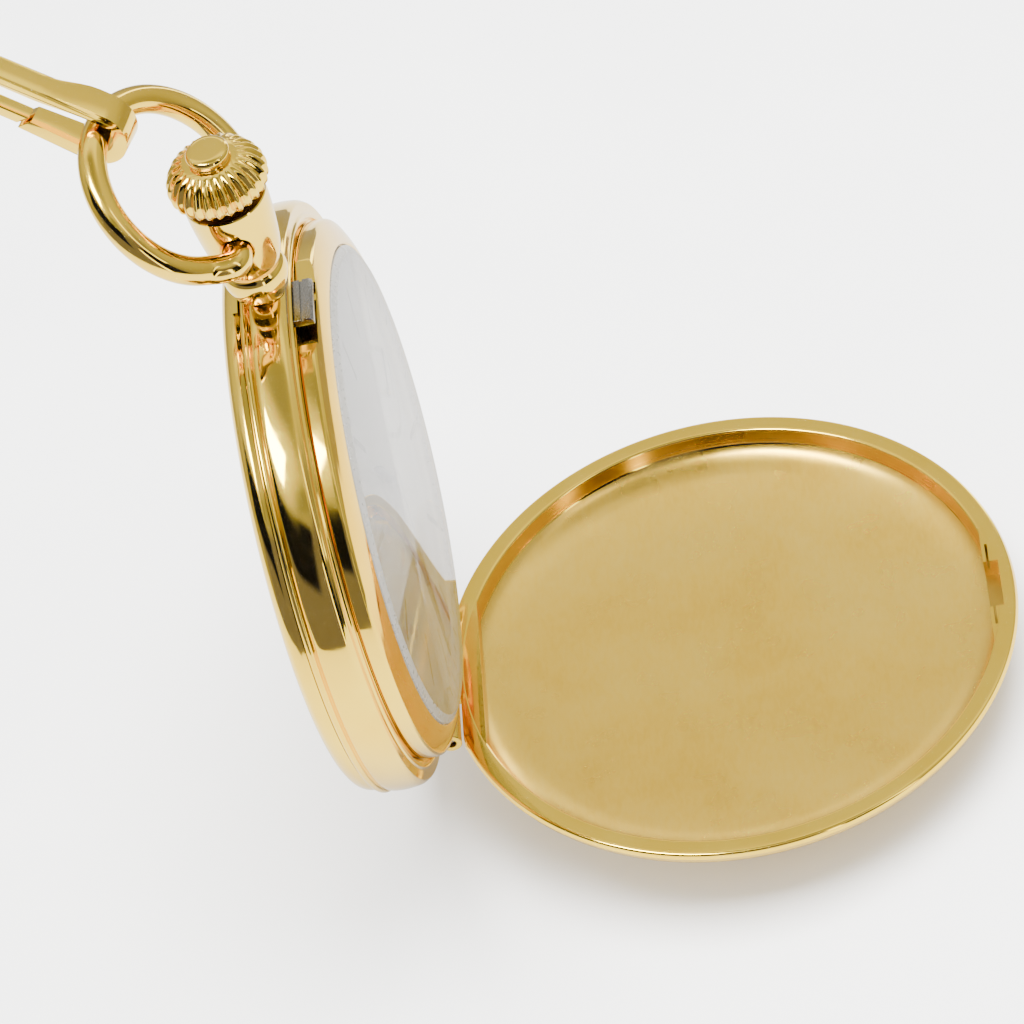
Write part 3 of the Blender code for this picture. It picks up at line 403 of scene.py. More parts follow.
def slab(loop, low, high, edge=0.0, matrix=Matrix()):
    """A flat outline between two heights, its rims eased by a small chamfer."""
    curve = bpy.data.curves.new("outline", "CURVE")
    curve.dimensions = "2D"
    curve.fill_mode = "BOTH"
    curve.extrude = (high - low) / 2
    spline = curve.splines.new("POLY")
    spline.points.add(len(loop) - 1)
    for point, (x, y) in zip(spline.points, loop):
        point.co = (x, y, 0, 1)
    spline.use_cyclic_u = True
    holder = raw(curve)
    piece = baked(holder)
    if edge:
        bevel = piece.modifiers.new("edge", "BEVEL")
        bevel.width = edge
        bevel.segments = 3
        bevel.limit_method = "ANGLE"
        bevel.angle_limit = math.radians(50)
        piece = baked(piece)
    return moved(piece, matrix @ Matrix.Translation((0, 0, (high + low) / 2)))


def baked(piece):
    """The piece with its modifiers applied, welded."""
    bpy.context.view_layer.update()
    mesh = bpy.data.meshes.new_from_object(piece.evaluated_get(bpy.context.evaluated_depsgraph_get()))
    mesh.materials.clear()
    mesh.transform(piece.matrix_world)
    shape = bmesh.new()
    shape.from_mesh(mesh)
    bmesh.ops.remove_doubles(shape, verts=shape.verts, dist=1e-4)
    bmesh.ops.recalc_face_normals(shape, faces=shape.faces)
    shape.to_mesh(mesh)
    shape.free()
    bpy.data.objects.remove(piece)
    return raw(mesh)


def combine(piece, cuts=(), joins=()):
    """Cuts first, then joins, as exact Booleans."""
    for others, operation in ((cuts, "DIFFERENCE"), (joins, "UNION")):
        for other in others:
            step = piece.modifiers.new(operation.lower(), "BOOLEAN")
            step.operation = operation
            step.object = other
            step.solver = "EXACT"
    piece = baked(piece)
    for other in list(cuts) + list(joins):
        bpy.data.objects.remove(other)
    return piece


def sweep(points, radius, sides=32, closed=False):
    """A round bar along a smooth run of points."""
    curve = bpy.data.curves.new("bar", "CURVE")
    curve.dimensions = "3D"
    curve.bevel_depth = radius
    curve.bevel_resolution = sides // 4 - 1
    curve.use_fill_caps = not closed
    spline = curve.splines.new("POLY")
    spline.points.add(len(points) - 1)
    for point, at in zip(spline.points, points):
        point.co = (*at, 1)
    spline.use_cyclic_u = closed
    return baked(raw(curve))


def shown(piece, name, materials, body, nodes, matrix=BENCH, angle=32):
    """The finished piece: in the frame's metres, smooth, riding on its body."""
    piece.data.transform(matrix)
    piece.name = piece.data.name = name
    for m in materials:
        piece.data.materials.append(m)
    piece.data.shade_smooth()
    piece.data.set_sharp_from_angle(angle=math.radians(angle))
    workshop.objects.unlink(piece)
    scene.collection.objects.link(piece)
    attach(piece, body)
    if nodes:
        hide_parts(*nodes)
    return piece


def repaint(piece, index, wanted):
    """Gives a second material to the faces that the test picks, in bench millimetres."""
    for face in piece.data.polygons:
        if wanted(face.center, face.normal):
            face.material_index = index


def arc(centre, radius, start, end, count):
    """Points of an arc; the angles are in degrees."""
    step = (end - start) / count
    angles = [math.radians(start + step * i) for i in range(count + 1)]
    return [(centre[0] + radius * math.cos(a), centre[1] + radius * math.sin(a)) for a in angles]


def on(point, turn=Matrix()):
    """A matrix that turns a shape and then sets it at the point."""
    return Matrix.Translation(point) @ turn


# ---- case band -----------------------------------------------------------------------------------
def make_band():
    """Case middle: band with its bead, ledge, flanges and the two rows of hinge knuckles."""
    outer = flow([(24.66, 6.02), (24.93, 5.5), (25.04, 4.4), (24.97, 3.35), (24.72, 2.92)], 8)
    bead = flow([(24.72, 2.9), (24.93, 2.75), (24.98, 2.52), (24.86, 2.32), (24.6, 2.2)], 4)
    bore, flange = 22.7, 21.2
    inside = [(bore + 0.05, 2.2), (bore + 0.05, 2.4), (flange, 2.4), (flange, 2.9),
              (bore, 2.9), (bore, 5.7), (flange, 5.7), (flange, 6.35)]
    groove = [(22.92, 6.35), (22.98, 5.9), (23.22, 5.9), (23.27, 6.33)]
    ledge = [(23.62, 6.33), (23.72, 6.1), (24.6, 6.08)]
    band = turned(outer + bead + inside + soft(groove + ledge, 0.07, 3, closed=False))
    _, y, h = FRONT_HINGE
    cuts = [block((-7.75, -30, h - 0.8), (7.75, y + 1.0, 9)),
            block((-2.62, -30, h - 1.1), (2.62, y + 1.1, 9))]
    _, y, h = BACK_HINGE
    cuts += [block((-5.1, -30, 0), (5.1, y + 0.7, h + 0.65)),
             block((-2.32, -30, 0), (2.32, y + 0.85, h + 0.85))]
    _, y, h = CUVETTE_HINGE
    cuts += [block((-3.4, y - 0.5, 1), (3.4, y + 0.75, h + 0.5)),
             rod(0.23, -4, 4, on(CUVETTE_HINGE, TURN_X))]
    cuts += [rod(1.65, 20, 26, on(STEM, TURN_Y)),
             block((-2.55, 21.65, 5.0), (2.55, 23.5, 8))]
    joins = []
    for side in (-1, 1):
        low, high = sorted((side * 2.7, side * 7.6))
        joins.append(tube(0.95, 0.42, low, high, on(FRONT_HINGE, TURN_X)))
        low, high = sorted((side * 2.4, side * 5.0))
        joins.append(tube(0.75, 0.34, low, high, on(BACK_HINGE, TURN_X)))
    band = combine(band, cuts, joins)
    _, y, h = FRONT_HINGE
    # The bores of the band's front knuckles get painted shade.
    repaint(band, 1, lambda c, n: math.hypot(c.y - y, c.z - h) < 0.47 and abs(c.x) > 2.6)
    shown(band, "case_middle", [GOLD, RECESS_SHADE], "case", ["case_band"])


# ---- covers --------------------------------------------------------------------------------------
def segment(radius, flat, low, high, side):
    """What is left of a disc beyond a chord, at the hinge (-1) or at the catch (1)."""
    half = math.degrees(math.acos(flat / radius))
    return slab(arc((0, 0), radius, 90 * side - half, 90 * side + half, 48), low, high)


def make_front_cover():
    """Front cover, shaped shut and then opened about its hinge; its notch takes the catch."""
    _, y, h = FRONT_HINGE
    rim = 6.42
    dome = [(0, 10.6), (9, 10.45), (16, 10.0), (21, 9.3), (23.4, 8.6), (24.5, 7.8), (24.9, 6.95)]
    outside = flow(dome, 8)
    lip = soft([(24.9, 6.9), (24.72, rim), (23.15, rim), (23.05, 7.4)], 0.3, 6, closed=False)
    fillet = [(23.02, 7.5), (22.86, 7.95), (22.3, 8.5), (21.2, 8.95), (19.4, 9.3)]
    dish = [(15, 9.72), (8, 10.0), (0, 10.08)]
    cover = turned(outside + lip[1:] + flow(fillet + dish, 8))
    lands = [segment(23.3, 21.75, rim, 8.75, -1), segment(23.3, 22.35, rim, 8.45, 1)]
    cover = combine(cover, joins=lands)
    gap = block((-7.7, -30, 0), (7.7, y + 1.12, 20))
    notch = block((-2.6, 21.5, 0), (2.6, 23.62, 8.22))
    slit = block((-4.6, 22.66, 6), (4.6, 22.88, rim + 1.0))
    web = block((-2.45, y + 0.2, h + 0.3), (2.45, y + 1.7, h + 0.92))
    knuckle = rod(0.95, -2.5, 2.5, on(FRONT_HINGE, TURN_X), 64)
    cover = combine(cover, [gap, notch, slit], [web, knuckle])
    cover = combine(cover, [rod(0.42, -3, 3, on(FRONT_HINGE, TURN_X))])
    repaint(cover, 1, lambda c, n: n.z < -0.3 and c.z > 8.0 and math.hypot(c.x, c.y) < 22.85)
    # The catch notch and slit take the painted shade.
    repaint(cover, 2, lambda c, n: abs(c.x) < 4.7 and 22.4 < c.y < 23.7 and rim + 0.1 < c.z < 8.3)
    finishes = [GOLD, COVER_GOLD, NOTCH_SHADE]
    shown(cover, "cover_front", finishes, "front_cover", ["front_cover"], BENCH @ OPENED)


def make_back_cover():
    """Domed back with a flat resting ring, a thumb lip and one knuckle."""
    _, y, h = BACK_HINGE
    rim = 2.13
    inside = [(0, 0.45), (9.5, 0.45)] + flow([(20.4, 0.62), (22.2, 0.95), (23.1, 1.5)], 6) + [(23.1, rim)]
    edge = [(24.5, rim), (24.56, 1.6), (24.2, 0.9), (23.2, 0.42), (20.8, 0.16), (15, 0.03), (9.5, 0)]
    cover = turned((inside + flow(edge, 8) + [(0, 0)])[::-1])
    cuts = [block((-5.15, -30, -1), (5.15, y + 1.0, 9)), block((-2.0, -23.38, 1.7), (2.0, -22.2, 5))]
    web = block((-2.1, y + 0.2, 1.6), (2.1, y + 1.5, rim))
    knuckle = rod(0.75, -2.2, 2.2, on(BACK_HINGE, TURN_X), 64)
    thumb_lip = block((-1.6, 24.2, rim - 0.4), (1.6, 24.85, rim))
    cover = combine(cover, cuts, [web, knuckle, thumb_lip])
    cover = combine(cover, [rod(0.34, -3, 3, on(BACK_HINGE, TURN_X))])
    shown(cover, "cover_back", [GOLD], "back_cover", ["back_cover"])


def make_cuvette():
    """Thin dust cover under the back."""
    _, y, h = CUVETTE_HINGE
    upper = [(0, 1.15)] + flow([(12, 1.17), (17, 1.36), (20.6, 1.8)], 6) + [(21.2, 2.32), (22.5, 2.32)]
    lower = flow([(22.55, 2.02), (20.8, 1.52), (17, 1.06), (12, 0.87)], 6) + [(0, 0.85)]
    cover = turned(upper + lower, 192)
    gap = block((-3.3, -30, 0), (3.3, y + 0.62, 9))
    web = block((-1.7, y + 0.1, h - 0.35), (1.7, y + 1.1, h - 0.02))
    knuckle = rod(0.42, -1.8, 1.8, on(CUVETTE_HINGE, TURN_X), 32)
    cover = combine(cover, [gap], [web, knuckle])
    cover = combine(cover, [rod(0.23, -3, 3, on(CUVETTE_HINGE, TURN_X), 24)])
    shown(cover, "dust_cover", [COVER_GOLD], "cuvette", ["cuvette"])


# ---- bezel, crystal, dial ------------------------------------------------------------------------
def make_bezel():
    """Ring that holds the crystal, cut flat at the hinge and recessed for the catch."""
    wall = [(22.86, 6.42), (22.9, 6.6), (22.9, 7.45), (22.86, 7.66), (22.7, 7.86)]
    slope = flow([(22.5, 7.98), (21.9, 8.3), (21.2, 8.58), (20.62, 8.74)], 5)
    seat = [(20.46, 8.66), (20.46, 8.36), (19.8, 8.36), (19.8, 8.0), (20.6, 7.6), (20.6, 6.42)]
    bezel = turned(soft((wall + slope + seat)[::-1], 0.04, 2))
    hinge_flat = block((-9, -30, 0), (9, -21.63, 20))
    catch_flat = block((-7, 22.23, 0), (7, 30, 20))
    catch_recess = block((-4.2, 21.55, 0), (2.7, 30, 8.02))
    bezel = combine(bezel, [hinge_flat, catch_flat, catch_recess])
    repaint(bezel, 1, lambda c, n: n.z > 0.4 and c.z > 7.9)
    shown(bezel, "glass_bezel", [GOLD, WARM_GOLD], "case", ["bezel"])


def make_crystal():
    """Flat glass with a ground bevel."""
    top, seat = 9.15, 8.43
    bevel = [(19.72, top), (19.78, top - 0.015), (20.35, 8.84), (20.38, 8.8)]
    glass = turned([(0, top)] + bevel + [(20.38, seat), (0, seat)])
    repaint(glass, 1, lambda c, n: math.hypot(c.x, c.y) > 19.74 and c.z > 8.6)
    shown(glass, "watch_glass", [GLASS, BEVEL], "case", ["crystal"])


def clockwise(angle, along, across=0.0):
    """A point on the dial, clockwise from twelve; twelve is at -X."""
    x = -math.cos(angle) * along + math.sin(angle) * across
    y = math.sin(angle) * along + math.cos(angle) * across
    return (x, y)


def make_dial():
    """Dial with its sunk seconds circle, and the printed marks as thin raised bars."""
    disc = turned([(0, DIAL_TOP), (20.3, DIAL_TOP), (20.3, 7.1), (0, 7.1)])
    sunk = turned([(0, 9), (4.3, 9), (4.3, 7.41), (4.18, 7.39), (0, 7.39)], 96, on(SECONDS_AT))
    disc = combine(disc, [sunk, rod(1.25, 6, 9), rod(0.4, 6, 9, on(SECONDS_AT))])
    shown(disc, "dial_plate", [DIAL], "case", ["dial"])

    marks = bmesh.new()

    def bar(angle, inner, outer, half, at=(0, 0, 0), height=DIAL_TOP + 0.002):
        corners = [clockwise(angle, inner, -half), clockwise(angle, outer, -half),
                   clockwise(angle, outer, half), clockwise(angle, inner, half)]
        low = [marks.verts.new((x + at[0], y + at[1], height)) for x, y in corners]
        top = [marks.verts.new((x + at[0], y + at[1], height + 0.03)) for x, y in corners]
        marks.faces.new(top[::-1])
        marks.faces.new(low)
        for i in range(4):
            j = (i + 1) % 4
            marks.faces.new((low[i], low[j], top[j], top[i]))

    for i in range(60):
        bar(math.tau * i / 60, 18.4, 19.4, 0.13 if i % 5 == 0 else 0.06)
    for i in range(12):
        if i != 6:
            bar(math.tau * i / 12, 12.9, 17.3, 0.28)
    for i in range(60):
        bar(math.tau * i / 60, 3.4 if i % 5 else 3.1, 3.9, 0.04, SECONDS_AT, 7.392)
    shown(filled(marks), "dial_marks", [INK], "case", [])


def hand_shape(angle, length, width, hub_r, bore_r, low, high):
    """A flat leaf hand on a round hub, its edges eased and its hub bored."""
    neck = 0.35
    hub = [clockwise(angle + neck + (math.tau - 2 * neck) * i / 40, hub_r) for i in range(41)]
    side = flow([(0.0, 0.12), (0.3, 0.3), (0.55, 0.5), (0.8, 0.34), (1.0, 0.02)], 5)[4:]
    left = [clockwise(angle, length * f, -width * w) for f, w in side]
    right = [clockwise(angle, length * f, width * w) for f, w in reversed(side)]
    return combine(slab(hub + left + right, low, high, 0.03), [rod(bore_r, low - 1, high + 1, steps=32)])


def make_hands():
    """Blued leaf hands, each on the body that turns it."""
    hour = hand_shape(HOUR_HEADING, 11.2, 1.5, 1.35, 1.02, 7.7, 7.88)
    shown(hour, "hand_hour", [BLUED], "hour", ["hour_hand"])
    minute = hand_shape(MINUTE_HEADING, 16.8, 1.2, 1.1, 0.6, 8.05, 8.2)
    shown(minute, "hand_minute", [BLUED], "minute", ["minute_hand"])
    seconds = moved(hand_shape(SECONDS_HEADING, 3.9, 0.35, 0.5, 0.24, 7.52, 7.62), on(SECONDS_AT))
    shown(seconds, "hand_seconds", [BLUED], "seconds", ["seconds_hand"])


# ---- pendant and crown ---------------------------------------------------------------------------
def make_pendant():
    """Flared tube and collar at the top of the case, dished where the bow's ends sit."""
    outer = flow([(3.42, 36.2), (3.38, 34.6), (3.18, 32.2), (2.85, 29.9), (2.35, 28.5)], 8)
    collar = flow([(2.35, 28.48), (2.58, 28.1), (2.68, 27.4), (2.6, 26.75), (2.3, 25.8)], 5)
    foot = [(1.6, 25.15), (1.6, 23.75)]
    inner = [(1.2, 23.75), (1.2, 35.9), (2.7, 35.9), (2.95, 36.3), (3.34, 36.3)]
    body = turned(outer + collar[1:] + foot + inner, 160, on(STEM, TURN_Y))
    ball_r = 2.3
    cuts = []
    for side in (-1, 1):
        low, high = sorted((side * 1.72, side * 6))
        cuts.append(rod(1.25, low, high, on(BOW_PIVOT, TURN_X)))
        angles = [math.pi * (1 - i / 24) for i in range(25)]
        ball = [(ball_r * math.sin(a), -ball_r * math.cos(a)) for a in angles]
        ball[0], ball[-1] = (0, ball_r), (0, -ball_r)
        cuts.append(turned(ball, 64, on(BOW_PIVOT + Vector((side * 4.75, 0, 0)), TURN_X)))
    body = combine(body, cuts)
    # The pendant's mouth under the crown gets painted shade.
    repaint(body, 1, lambda c, n: math.hypot(c.x, c.z - STEM[2]) < 3.05 and c.y > 35.8)
    shown(body, "pendant_tube", [GOLD, RECESS_SHADE], "case", ["pendant"])


def make_crown():
    """Fluted onion crown with its push button and sleeve."""
    base, top = 37.25, 41.5
    flutes, per = 28, 16
    skirt = [(3.55, 0.02), (4.0, 0.25), (4.15, 0.75), (4.1, 1.4), (3.75, 2.1), (3.2, 2.75), (2.3, 3.2)]
    path = flow([(radius, base + rise) for radius, rise in skirt], 4)
    shape = bmesh.new()
    loops = []
    for i, (radius, height) in enumerate(path):
        share = i / (len(path) - 1)
        depth = 0.36 * min(1, 2.5 * (share + 0.15), 4.5 * (1.02 - share))
        loop = []
        for k in range(flutes * per):
            a = math.tau * k / (flutes * per)
            valley = abs(math.cos(a * flutes / 2)) ** 1.6
            r = radius - depth * (1 - valley)
            loop.append(shape.verts.new((r * math.cos(a), r * math.sin(a), height)))
        loops.append(loop)
    n = flutes * per
    for low, high in zip(loops, loops[1:]):
        for i in range(n):
            shape.faces.new((low[i], low[(i + 1) % n], high[(i + 1) % n], high[i]))
    shape.faces.new(loops[0][::-1])
    shape.faces.new(loops[-1])
    crown = moved(filled(shape), on(STEM, TURN_Y))
    knob = [(1.35, 0.03), (1.66, 0.16), (1.8, 0.45), (1.72, 0.72), (1.62, 0.9), (1.7, 1.1), (1.95, 1.25)]
    crest = flow([(0.02, 0.0), (0.8, 0.005), (1.35, 0.03)], 3)[1:-1]
    profile = [(0, 0)] + crest + flow(knob, 4) + [(0, 1.4)]
    button = turned([(r, top - d) for r, d in profile], 96, on(STEM, TURN_Y))
    crown = combine(crown, joins=[button, rod(1.1, 23.3, base + 0.5, on(STEM, TURN_Y), 64)])
    crown = combine(crown, [rod(0.5, 20, 39.3, on(STEM, TURN_Y), 32)])
    # The crown's underside gets painted shade.
    repaint(crown, 1, lambda c, n: c.y < base + 0.06)
    shown(crown, "winding_crown", [GOLD, RECESS_SHADE], "crown", ["crown"], angle=50)


# ---- bow and clip --------------------------------------------------------------------------------
# The bow is tilted back from the pendant and twisted about its own length. The middle of its ring is REACH
# out from the pivot and SHIFT to the side, and BOW_R is the ring's radius to the middle of its wire.
TILT = math.radians(39.8)
TWIST = 0.24
REACH = 6.06
SHIFT = 1.39
BOW_R = 7.53
WIRE_R = 1.18
OUTWARD = Vector((0, math.cos(TILT), -math.sin(TILT)))
ACROSS = Vector((1, 0, 0)) * math.cos(TWIST) + Vector((1, 0, 0)).cross(OUTWARD) * math.sin(TWIST)


def bow_point(angle):
    """A point on the middle of the bow's wire, from its pivot; angle 0 is its far end."""
    middle = OUTWARD * REACH + Vector((SHIFT, 0, 0))
    return middle + OUTWARD * BOW_R * math.cos(angle) + ACROSS * BOW_R * math.sin(angle)


def make_bow():
    """Bow: most of a circle of wire, eased into a stub at each side of the pendant."""
    high, low = math.radians(140), math.radians(-120)
    ring = [bow_point(high + (low - high) * i / 96) for i in range(97)]
    ends = []
    for stub, inward, first, second in ((Vector((3.6, 0, 0)), Vector((-1, 0, 0)), ring[0], ring[1]),
                                        (Vector((-3.6, 0, 0)), Vector((1, 0, 0)), ring[-1], ring[-2])):
        heading = (first - second).normalized()
        reach = (stub - first).length * 0.38
        handles = (stub, stub - inward * reach, first + heading * reach, first)
        run = []
        for i in range(1, 24):
            t = i / 24
            weights = ((1 - t) ** 3, 3 * t * (1 - t) ** 2, 3 * t * t * (1 - t), t ** 3)
            run.append(sum((h * w for h, w in zip(handles, weights)), Vector()))
        ends.append([Vector((stub.x * 0.514, 0, 0)), stub] + run)
    points = [BOW_PIVOT + p for p in ends[0] + ring + ends[1][::-1]]
    shown(sweep(points, WIRE_R, 40), "bow_ring", [GOLD], "bow", ["bow"])


def make_clip():
    """Spring clip on the bow: a bent strap with its latch and swivel eye, about the bow's wire as origin."""
    pull = Vector((0.34, 0.48, -0.81)).normalized()
    angle = math.atan2(pull.dot(ACROSS), pull.dot(OUTWARD))
    tangent = (ACROSS * math.cos(angle) - OUTWARD * math.sin(angle)).normalized()
    along = (pull - tangent * pull.dot(tangent)).normalized()
    turn = Matrix((along, tangent.cross(along), tangent)).transposed().to_4x4()
    at = BENCH @ Matrix.Translation(BOW_PIVOT + bow_point(angle)) @ turn
    # The hook's radii about the wire, the strap's fall behind it, and the half widths of hook and strap.
    # Then, along the clip: the start of the latch, its slanted lap, the end of the arms and of the heel.
    inner, outer, drop = 1.62, 2.77, 0.7
    half, bar_half = 1.25, 0.95
    start, lap, arm = 6.3, 0.9, 20.5
    base = arm + 1.6
    neck_start, neck_end, neck_steps = 1.0, 5.5, 6
    taper_start, taper_length = 1.2, 4.0
    pin_r = 0.3
    beak = [(start - 0.2, -outer), (start - 0.2 - lap, -inner)]
    heel = [(arm - 2.2, inner - drop), (arm - 1.2, inner - drop - 0.7), (arm - 1.1, -inner + 0.75),
            (arm + 1.5, -inner + 0.75), (base, -0.85), (base, 0.9), (base - 0.8, outer - drop - 0.15)]
    neck = []
    for i in range(neck_steps + 1):
        share = i / neck_steps
        neck.append((neck_start + (neck_end - neck_start) * share, drop * share * share * (3 - 2 * share)))
    inside = [(x, inner - fall) for x, fall in neck]
    outside = [(x, outer - fall) for x, fall in reversed(neck)]
    outline = arc((0, 0), outer, 90, 270, 40) + beak + arc((0, 0), inner, 270, 90, 40)
    outline += inside + heel + outside
    pin = (arm + 0.3, -inner - 0.575)
    cheek = [(arm - 0.9, -inner + 1.0), (arm - 0.9, -outer), (arm + 1.5, -outer), (arm + 1.5, -inner + 1.0)]
    cheeks = []
    for side in (-1, 1):
        low, high = sorted((side * (bar_half - 0.23), side * bar_half))
        cheeks.append(slab(cheek, low, high, 0.05))
    bore = rod(pin_r, -2, 2, on((*pin, 0)), 32)
    strap = slab(outline, -half, half, 0.42)
    for vertex in strap.data.vertices:
        share = min(1, max(0, (vertex.co.x - taper_start) / taper_length))
        vertex.co.z *= 1 - (1 - bar_half / half) * share * share * (3 - 2 * share)
    hook = combine(combine(strap, joins=cheeks), [bore])
    shown(hook, "clip_body", [GOLD], "clip", ["clip_hook"], at)
    gate_low, gate_high, gate_half = -outer + 0.02, -inner - 0.02, bar_half - 0.3
    bar = [(start, gate_low), (start - lap + 0.05, gate_high), (arm + 0.9, gate_high), (arm + 0.9, gate_low)]
    gate = combine(slab(bar, -gate_half, gate_half, 0.16), [rod(pin_r, -2, 2, on((*pin, 0)), 32)])
    shown(gate, "clip_latch", [GOLD], "clip_gate", ["clip_gate"], at)
    eye_at, eye_r, eye_wire = base + 2.4, 2.1, 0.65
    shank = [(0, eye_at - 1.2), (0.42, eye_at - 1.25), (0.5, base + 1.1), (0.6, base + 0.9),
             (0.6, base + 0.16), (0.54, base + 0.1), (0, base + 0.1)]
    circle = arc((eye_at + 0.7, 0), eye_r, 0, 360, 64)[:-1]
    ring = sweep([(x, 0, z) for x, z in circle], eye_wire, 24, closed=True)
    eye = combine(turned(shank, 48, TURN_X), joins=[ring])
    shown(eye, "clip_ring", [GOLD], "clip_eye", ["clip_swivel_eye"], at)


def make_catch():
    """Lock spring with its grooved catch, edges eased."""
    spring = slab(arc((0, 0), 22.3, 30, 150, 60) + arc((0, 0), 21.75, 150, 30, 60), 3.15, 5.45)
    foot = block((-2.3, 21.9, 5.1), (2.3, 23.2, 5.6))
    lug = slab([(22.45, 5.2), (23.2, 5.2), (23.2, 7.72), (22.98, 7.95), (22.45, 7.95)], -2.3, 2.3, 0.05,
               Matrix(((0, 0, 1, 0), (1, 0, 0, 0), (0, 1, 0, 0), (0, 0, 0, 1))))
    spring = combine(spring, joins=[foot, lug])
    spring = combine(spring, [block((-3, 23.0, 6.9), (3, 24, 7.15)), rod(0.8, 20, 25, on(STEM, TURN_Y))])
    shown(spring, "cover_catch", [STEEL], "lock_spring", ["lock_spring"])


make_band()
make_front_cover()
make_back_cover()
make_cuvette()
make_bezel()
make_crystal()
make_dial()
make_hands()
make_pendant()
make_crown()
make_bow()
make_clip()
make_catch()

# ---- finishes of the CAD nodes that stay ---------------------------------------------------------
FINISH = {
    "plated_brass": PLATE, "wheel_brass": BRASS, "ruby": RUBY, "steel": STEEL, "blued_steel": BLUED,
    "satin_gold": COVER_GOLD, "polished_gold": GOLD, "dial": DIAL, "crystal": GLASS,
}
for part in frame["record"]["subparts"]:
    node = frame["nodes"][part["node"]]
    for holder in node.material_slots:
        holder.material = FINISH[part["material_slot"]]

# ---- floor, light --------------------------------------------------------------------------------
def floor_paper(name):
    """A pale sheet, darker where the gold mirrors it."""
    s = Shade(name, (0.86, 0.86, 0.86), 0.0, 0.7)
    mix = s.tree.nodes.new("ShaderNodeMix")
    mix.data_type = "RGBA"
    mix.inputs[MIX_B].default_value = (0.52, 0.51, 0.49, 1)
    rays = s.tree.nodes.new("ShaderNodeLightPath")
    s.link(rays.outputs["Is Glossy Ray"], mix.inputs["Factor"])
    tone = s.ramp(s.noise(40, 4), [(0.3, (0.86, 0.86, 0.85)), (0.7, (0.9, 0.9, 0.885))])
    s.link(tone, mix.inputs[MIX_A])
    s.link(mix.outputs[MIX_RESULT], s.shader.inputs["Base Color"])
    return s.material


def make_floor(radius, gap):
    """A round floor, the gap below the watch."""
    shape = bmesh.new()
    bmesh.ops.create_circle(shape, cap_ends=True, segments=96, radius=radius)
    mesh = bpy.data.meshes.new("floor")
    shape.to_mesh(mesh)
    shape.free()
    mesh.materials.append(floor_paper("pale_floor"))
    floor = bpy.data.objects.new("floor", mesh)
    scene.collection.objects.link(floor)
    floor.location = (0, 0, cad_box[0][2] - gap)


make_floor(radius=0.22, gap=0.004)

world = bpy.data.worlds.new("studio")
scene.world = world
world.use_nodes = True
world.cycles.sampling_method = "NONE"
sky = world.node_tree
sky_light = sky.nodes["Background"]


def heading(azimuth, elevation):
    """Unit vectors towards a direction, to its right and above it; azimuth 0 faces the dial's side."""
    a, e = math.radians(azimuth), math.radians(elevation)
    ahead = (math.sin(a) * math.cos(e), -math.cos(a) * math.cos(e), math.sin(e))
    above = (-math.sin(a) * math.sin(e), math.cos(a) * math.sin(e), math.cos(e))
    return ahead, (math.cos(a), math.sin(a), 0), above


def sky_node(kind, settings, *sources):
    """A node of the sky with its settings, and links into the named or numbered sockets."""
    node = sky.nodes.new(kind)
    for name, value in settings.items():
        if hasattr(node, name):
            setattr(node, name, value)
        else:
            node.inputs[name].default_value = value
    for socket, source in sources:
        sky.links.new(source, node.inputs[socket])
    return node


def falls(source, edge, blur):
    """One below the edge, none above it."""
    settings = {"interpolation_type": "SMOOTHSTEP", "From Min": edge - blur, "From Max": edge + blur,
                "To Min": 1.0, "To Max": 0.0}
    return sky_node("ShaderNodeMapRange", settings, ("Value", source)).outputs["Result"]


def times(a, b):
    """The product of two values of the sky."""
    return sky_node("ShaderNodeMath", {"operation": "MULTIPLY"}, (0, a), (1, b)).outputs[0]


looking = sky_node("ShaderNodeTexCoord", {}).outputs["Generated"]


def along_axis(axis):
    """How far the looked-at direction points along the axis."""
    node = sky_node("ShaderNodeVectorMath", {"operation": "DOT_PRODUCT"}, (0, looking))
    node.inputs[1].default_value = axis
    return node.outputs["Value"]


def card(behind, azimuth, elevation, half_width, half_height, blur, colour):
    """A soft-edged reflector or flag seen only in reflections, over what is behind it."""
    ahead, right, above = heading(azimuth, elevation)
    front = sky_node("ShaderNodeMath", {"operation": "GREATER_THAN"}, (0, along_axis(ahead)))
    front.inputs[1].default_value = 0.0
    inside = front.outputs[0]
    for axis, half in ((right, half_width), (above, half_height)):
        apart = sky_node("ShaderNodeMath", {"operation": "ABSOLUTE"}, (0, along_axis(axis))).outputs[0]
        inside = times(inside, falls(apart, math.sin(math.radians(half)), math.sin(math.radians(blur))))
    mix = sky_node("ShaderNodeMix", {"data_type": "RGBA"}, ("Factor", inside), (MIX_A, behind))
    mix.inputs[MIX_B].default_value = (*colour, 1)
    return mix.outputs[MIX_RESULT]


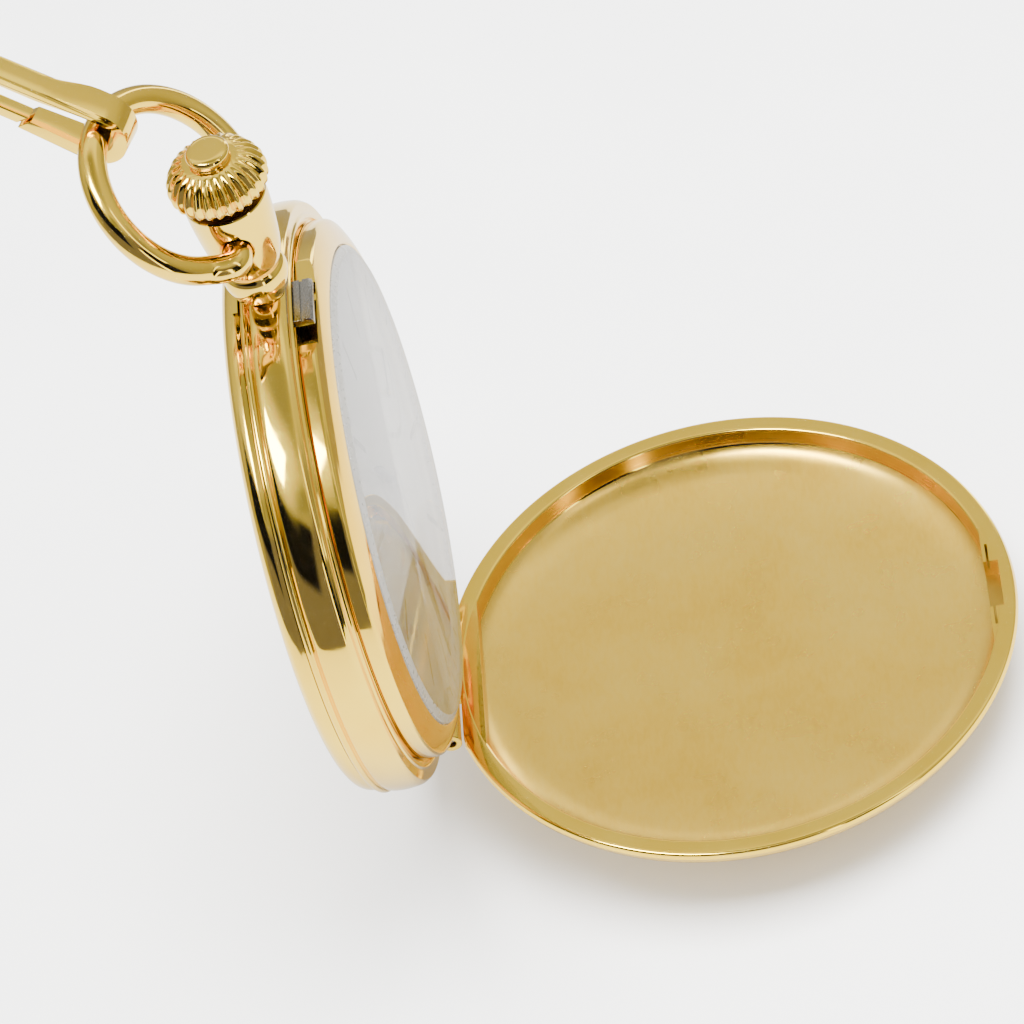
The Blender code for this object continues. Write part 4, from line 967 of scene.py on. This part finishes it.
height = along_axis((0, 0, 1))
room = sky_node("ShaderNodeValToRGB", {}, ("Fac", height))
levels = room.color_ramp.elements
levels[0].position, levels[0].color = 0.0, (0.55, 0.53, 0.5, 1)
levels[1].position, levels[1].color = 1.0, (0.42, 0.41, 0.4, 1)
levels.new(0.35).color = (0.85, 0.84, 0.82, 1)
levels.new(0.8).color = (1.0, 0.99, 0.97, 1)
mirrored = room.outputs["Color"]
# azimuth, elevation, half width, half height and blur in degrees, then the colour
for place in (
    (-95, 8, 64, 31, 6, (0.25, 0.25, 0.65)),
    (-95, 47, 22, 6, 4, (0.42, 0.43, 0.5)),
    (-130, 31, 38, 13, 2.5, (0.008, 0.008, 0.014)),
    (-50, 0, 12, 24, 2, (0.015, 0.015, 0.02)),
    (-66, 0, 2.6, 20, 0.8, (5.5, 5.4, 5.2)),
    (-36, 32, 3, 22, 1, (4.5, 4.4, 4.3)),
    (-142, 64, 26, 13, 8, (1.8, 1.8, 1.8)),
    (-139, 61, 14, 7, 1.5, (50.0, 50.0, 50.0)),
    (64, 2, 4, 24, 1.5, (6.0, 6.0, 6.0)),
    (85, 66, 40, 8, 6, (1.7, 1.7, 1.7)),
    (90, 26, 20, 3.5, 3, (2.5, 2.5, 2.5)),
):
    mirrored = card(mirrored, *place)
rays = sky_node("ShaderNodeLightPath", {})
chosen = sky_node("ShaderNodeMix", {"data_type": "RGBA"}, ("Factor", rays.outputs["Is Glossy Ray"]),
                  (MIX_B, mirrored))
chosen.inputs[MIX_A].default_value = (1.9, 1.92, 1.95, 1)
seen = sky_node("ShaderNodeMix", {"data_type": "RGBA"}, ("Factor", rays.outputs["Is Camera Ray"]),
                (MIX_A, chosen.outputs[MIX_RESULT]))
seen.inputs[MIX_B].default_value = (6.0, 6.05, 6.0, 1)
sky.links.new(seen.outputs[MIX_RESULT], sky_light.inputs["Color"])


def area_light(name, at, target, size, power):
    """A soft light that shows in no reflection: the cards above are what the gold mirrors."""
    lamp = bpy.data.lights.new(name, "AREA")
    lamp.size = size
    lamp.energy = power
    holder = bpy.data.objects.new(name, lamp)
    scene.collection.objects.link(holder)
    holder.location = at
    holder.rotation_euler = (Vector(target) - Vector(at)).to_track_quat("-Z", "Y").to_euler()
    holder.visible_glossy = False


area_light("key", (0.0, -0.05, 0.38), (0, -0.02, 0), 0.3, 9.0)
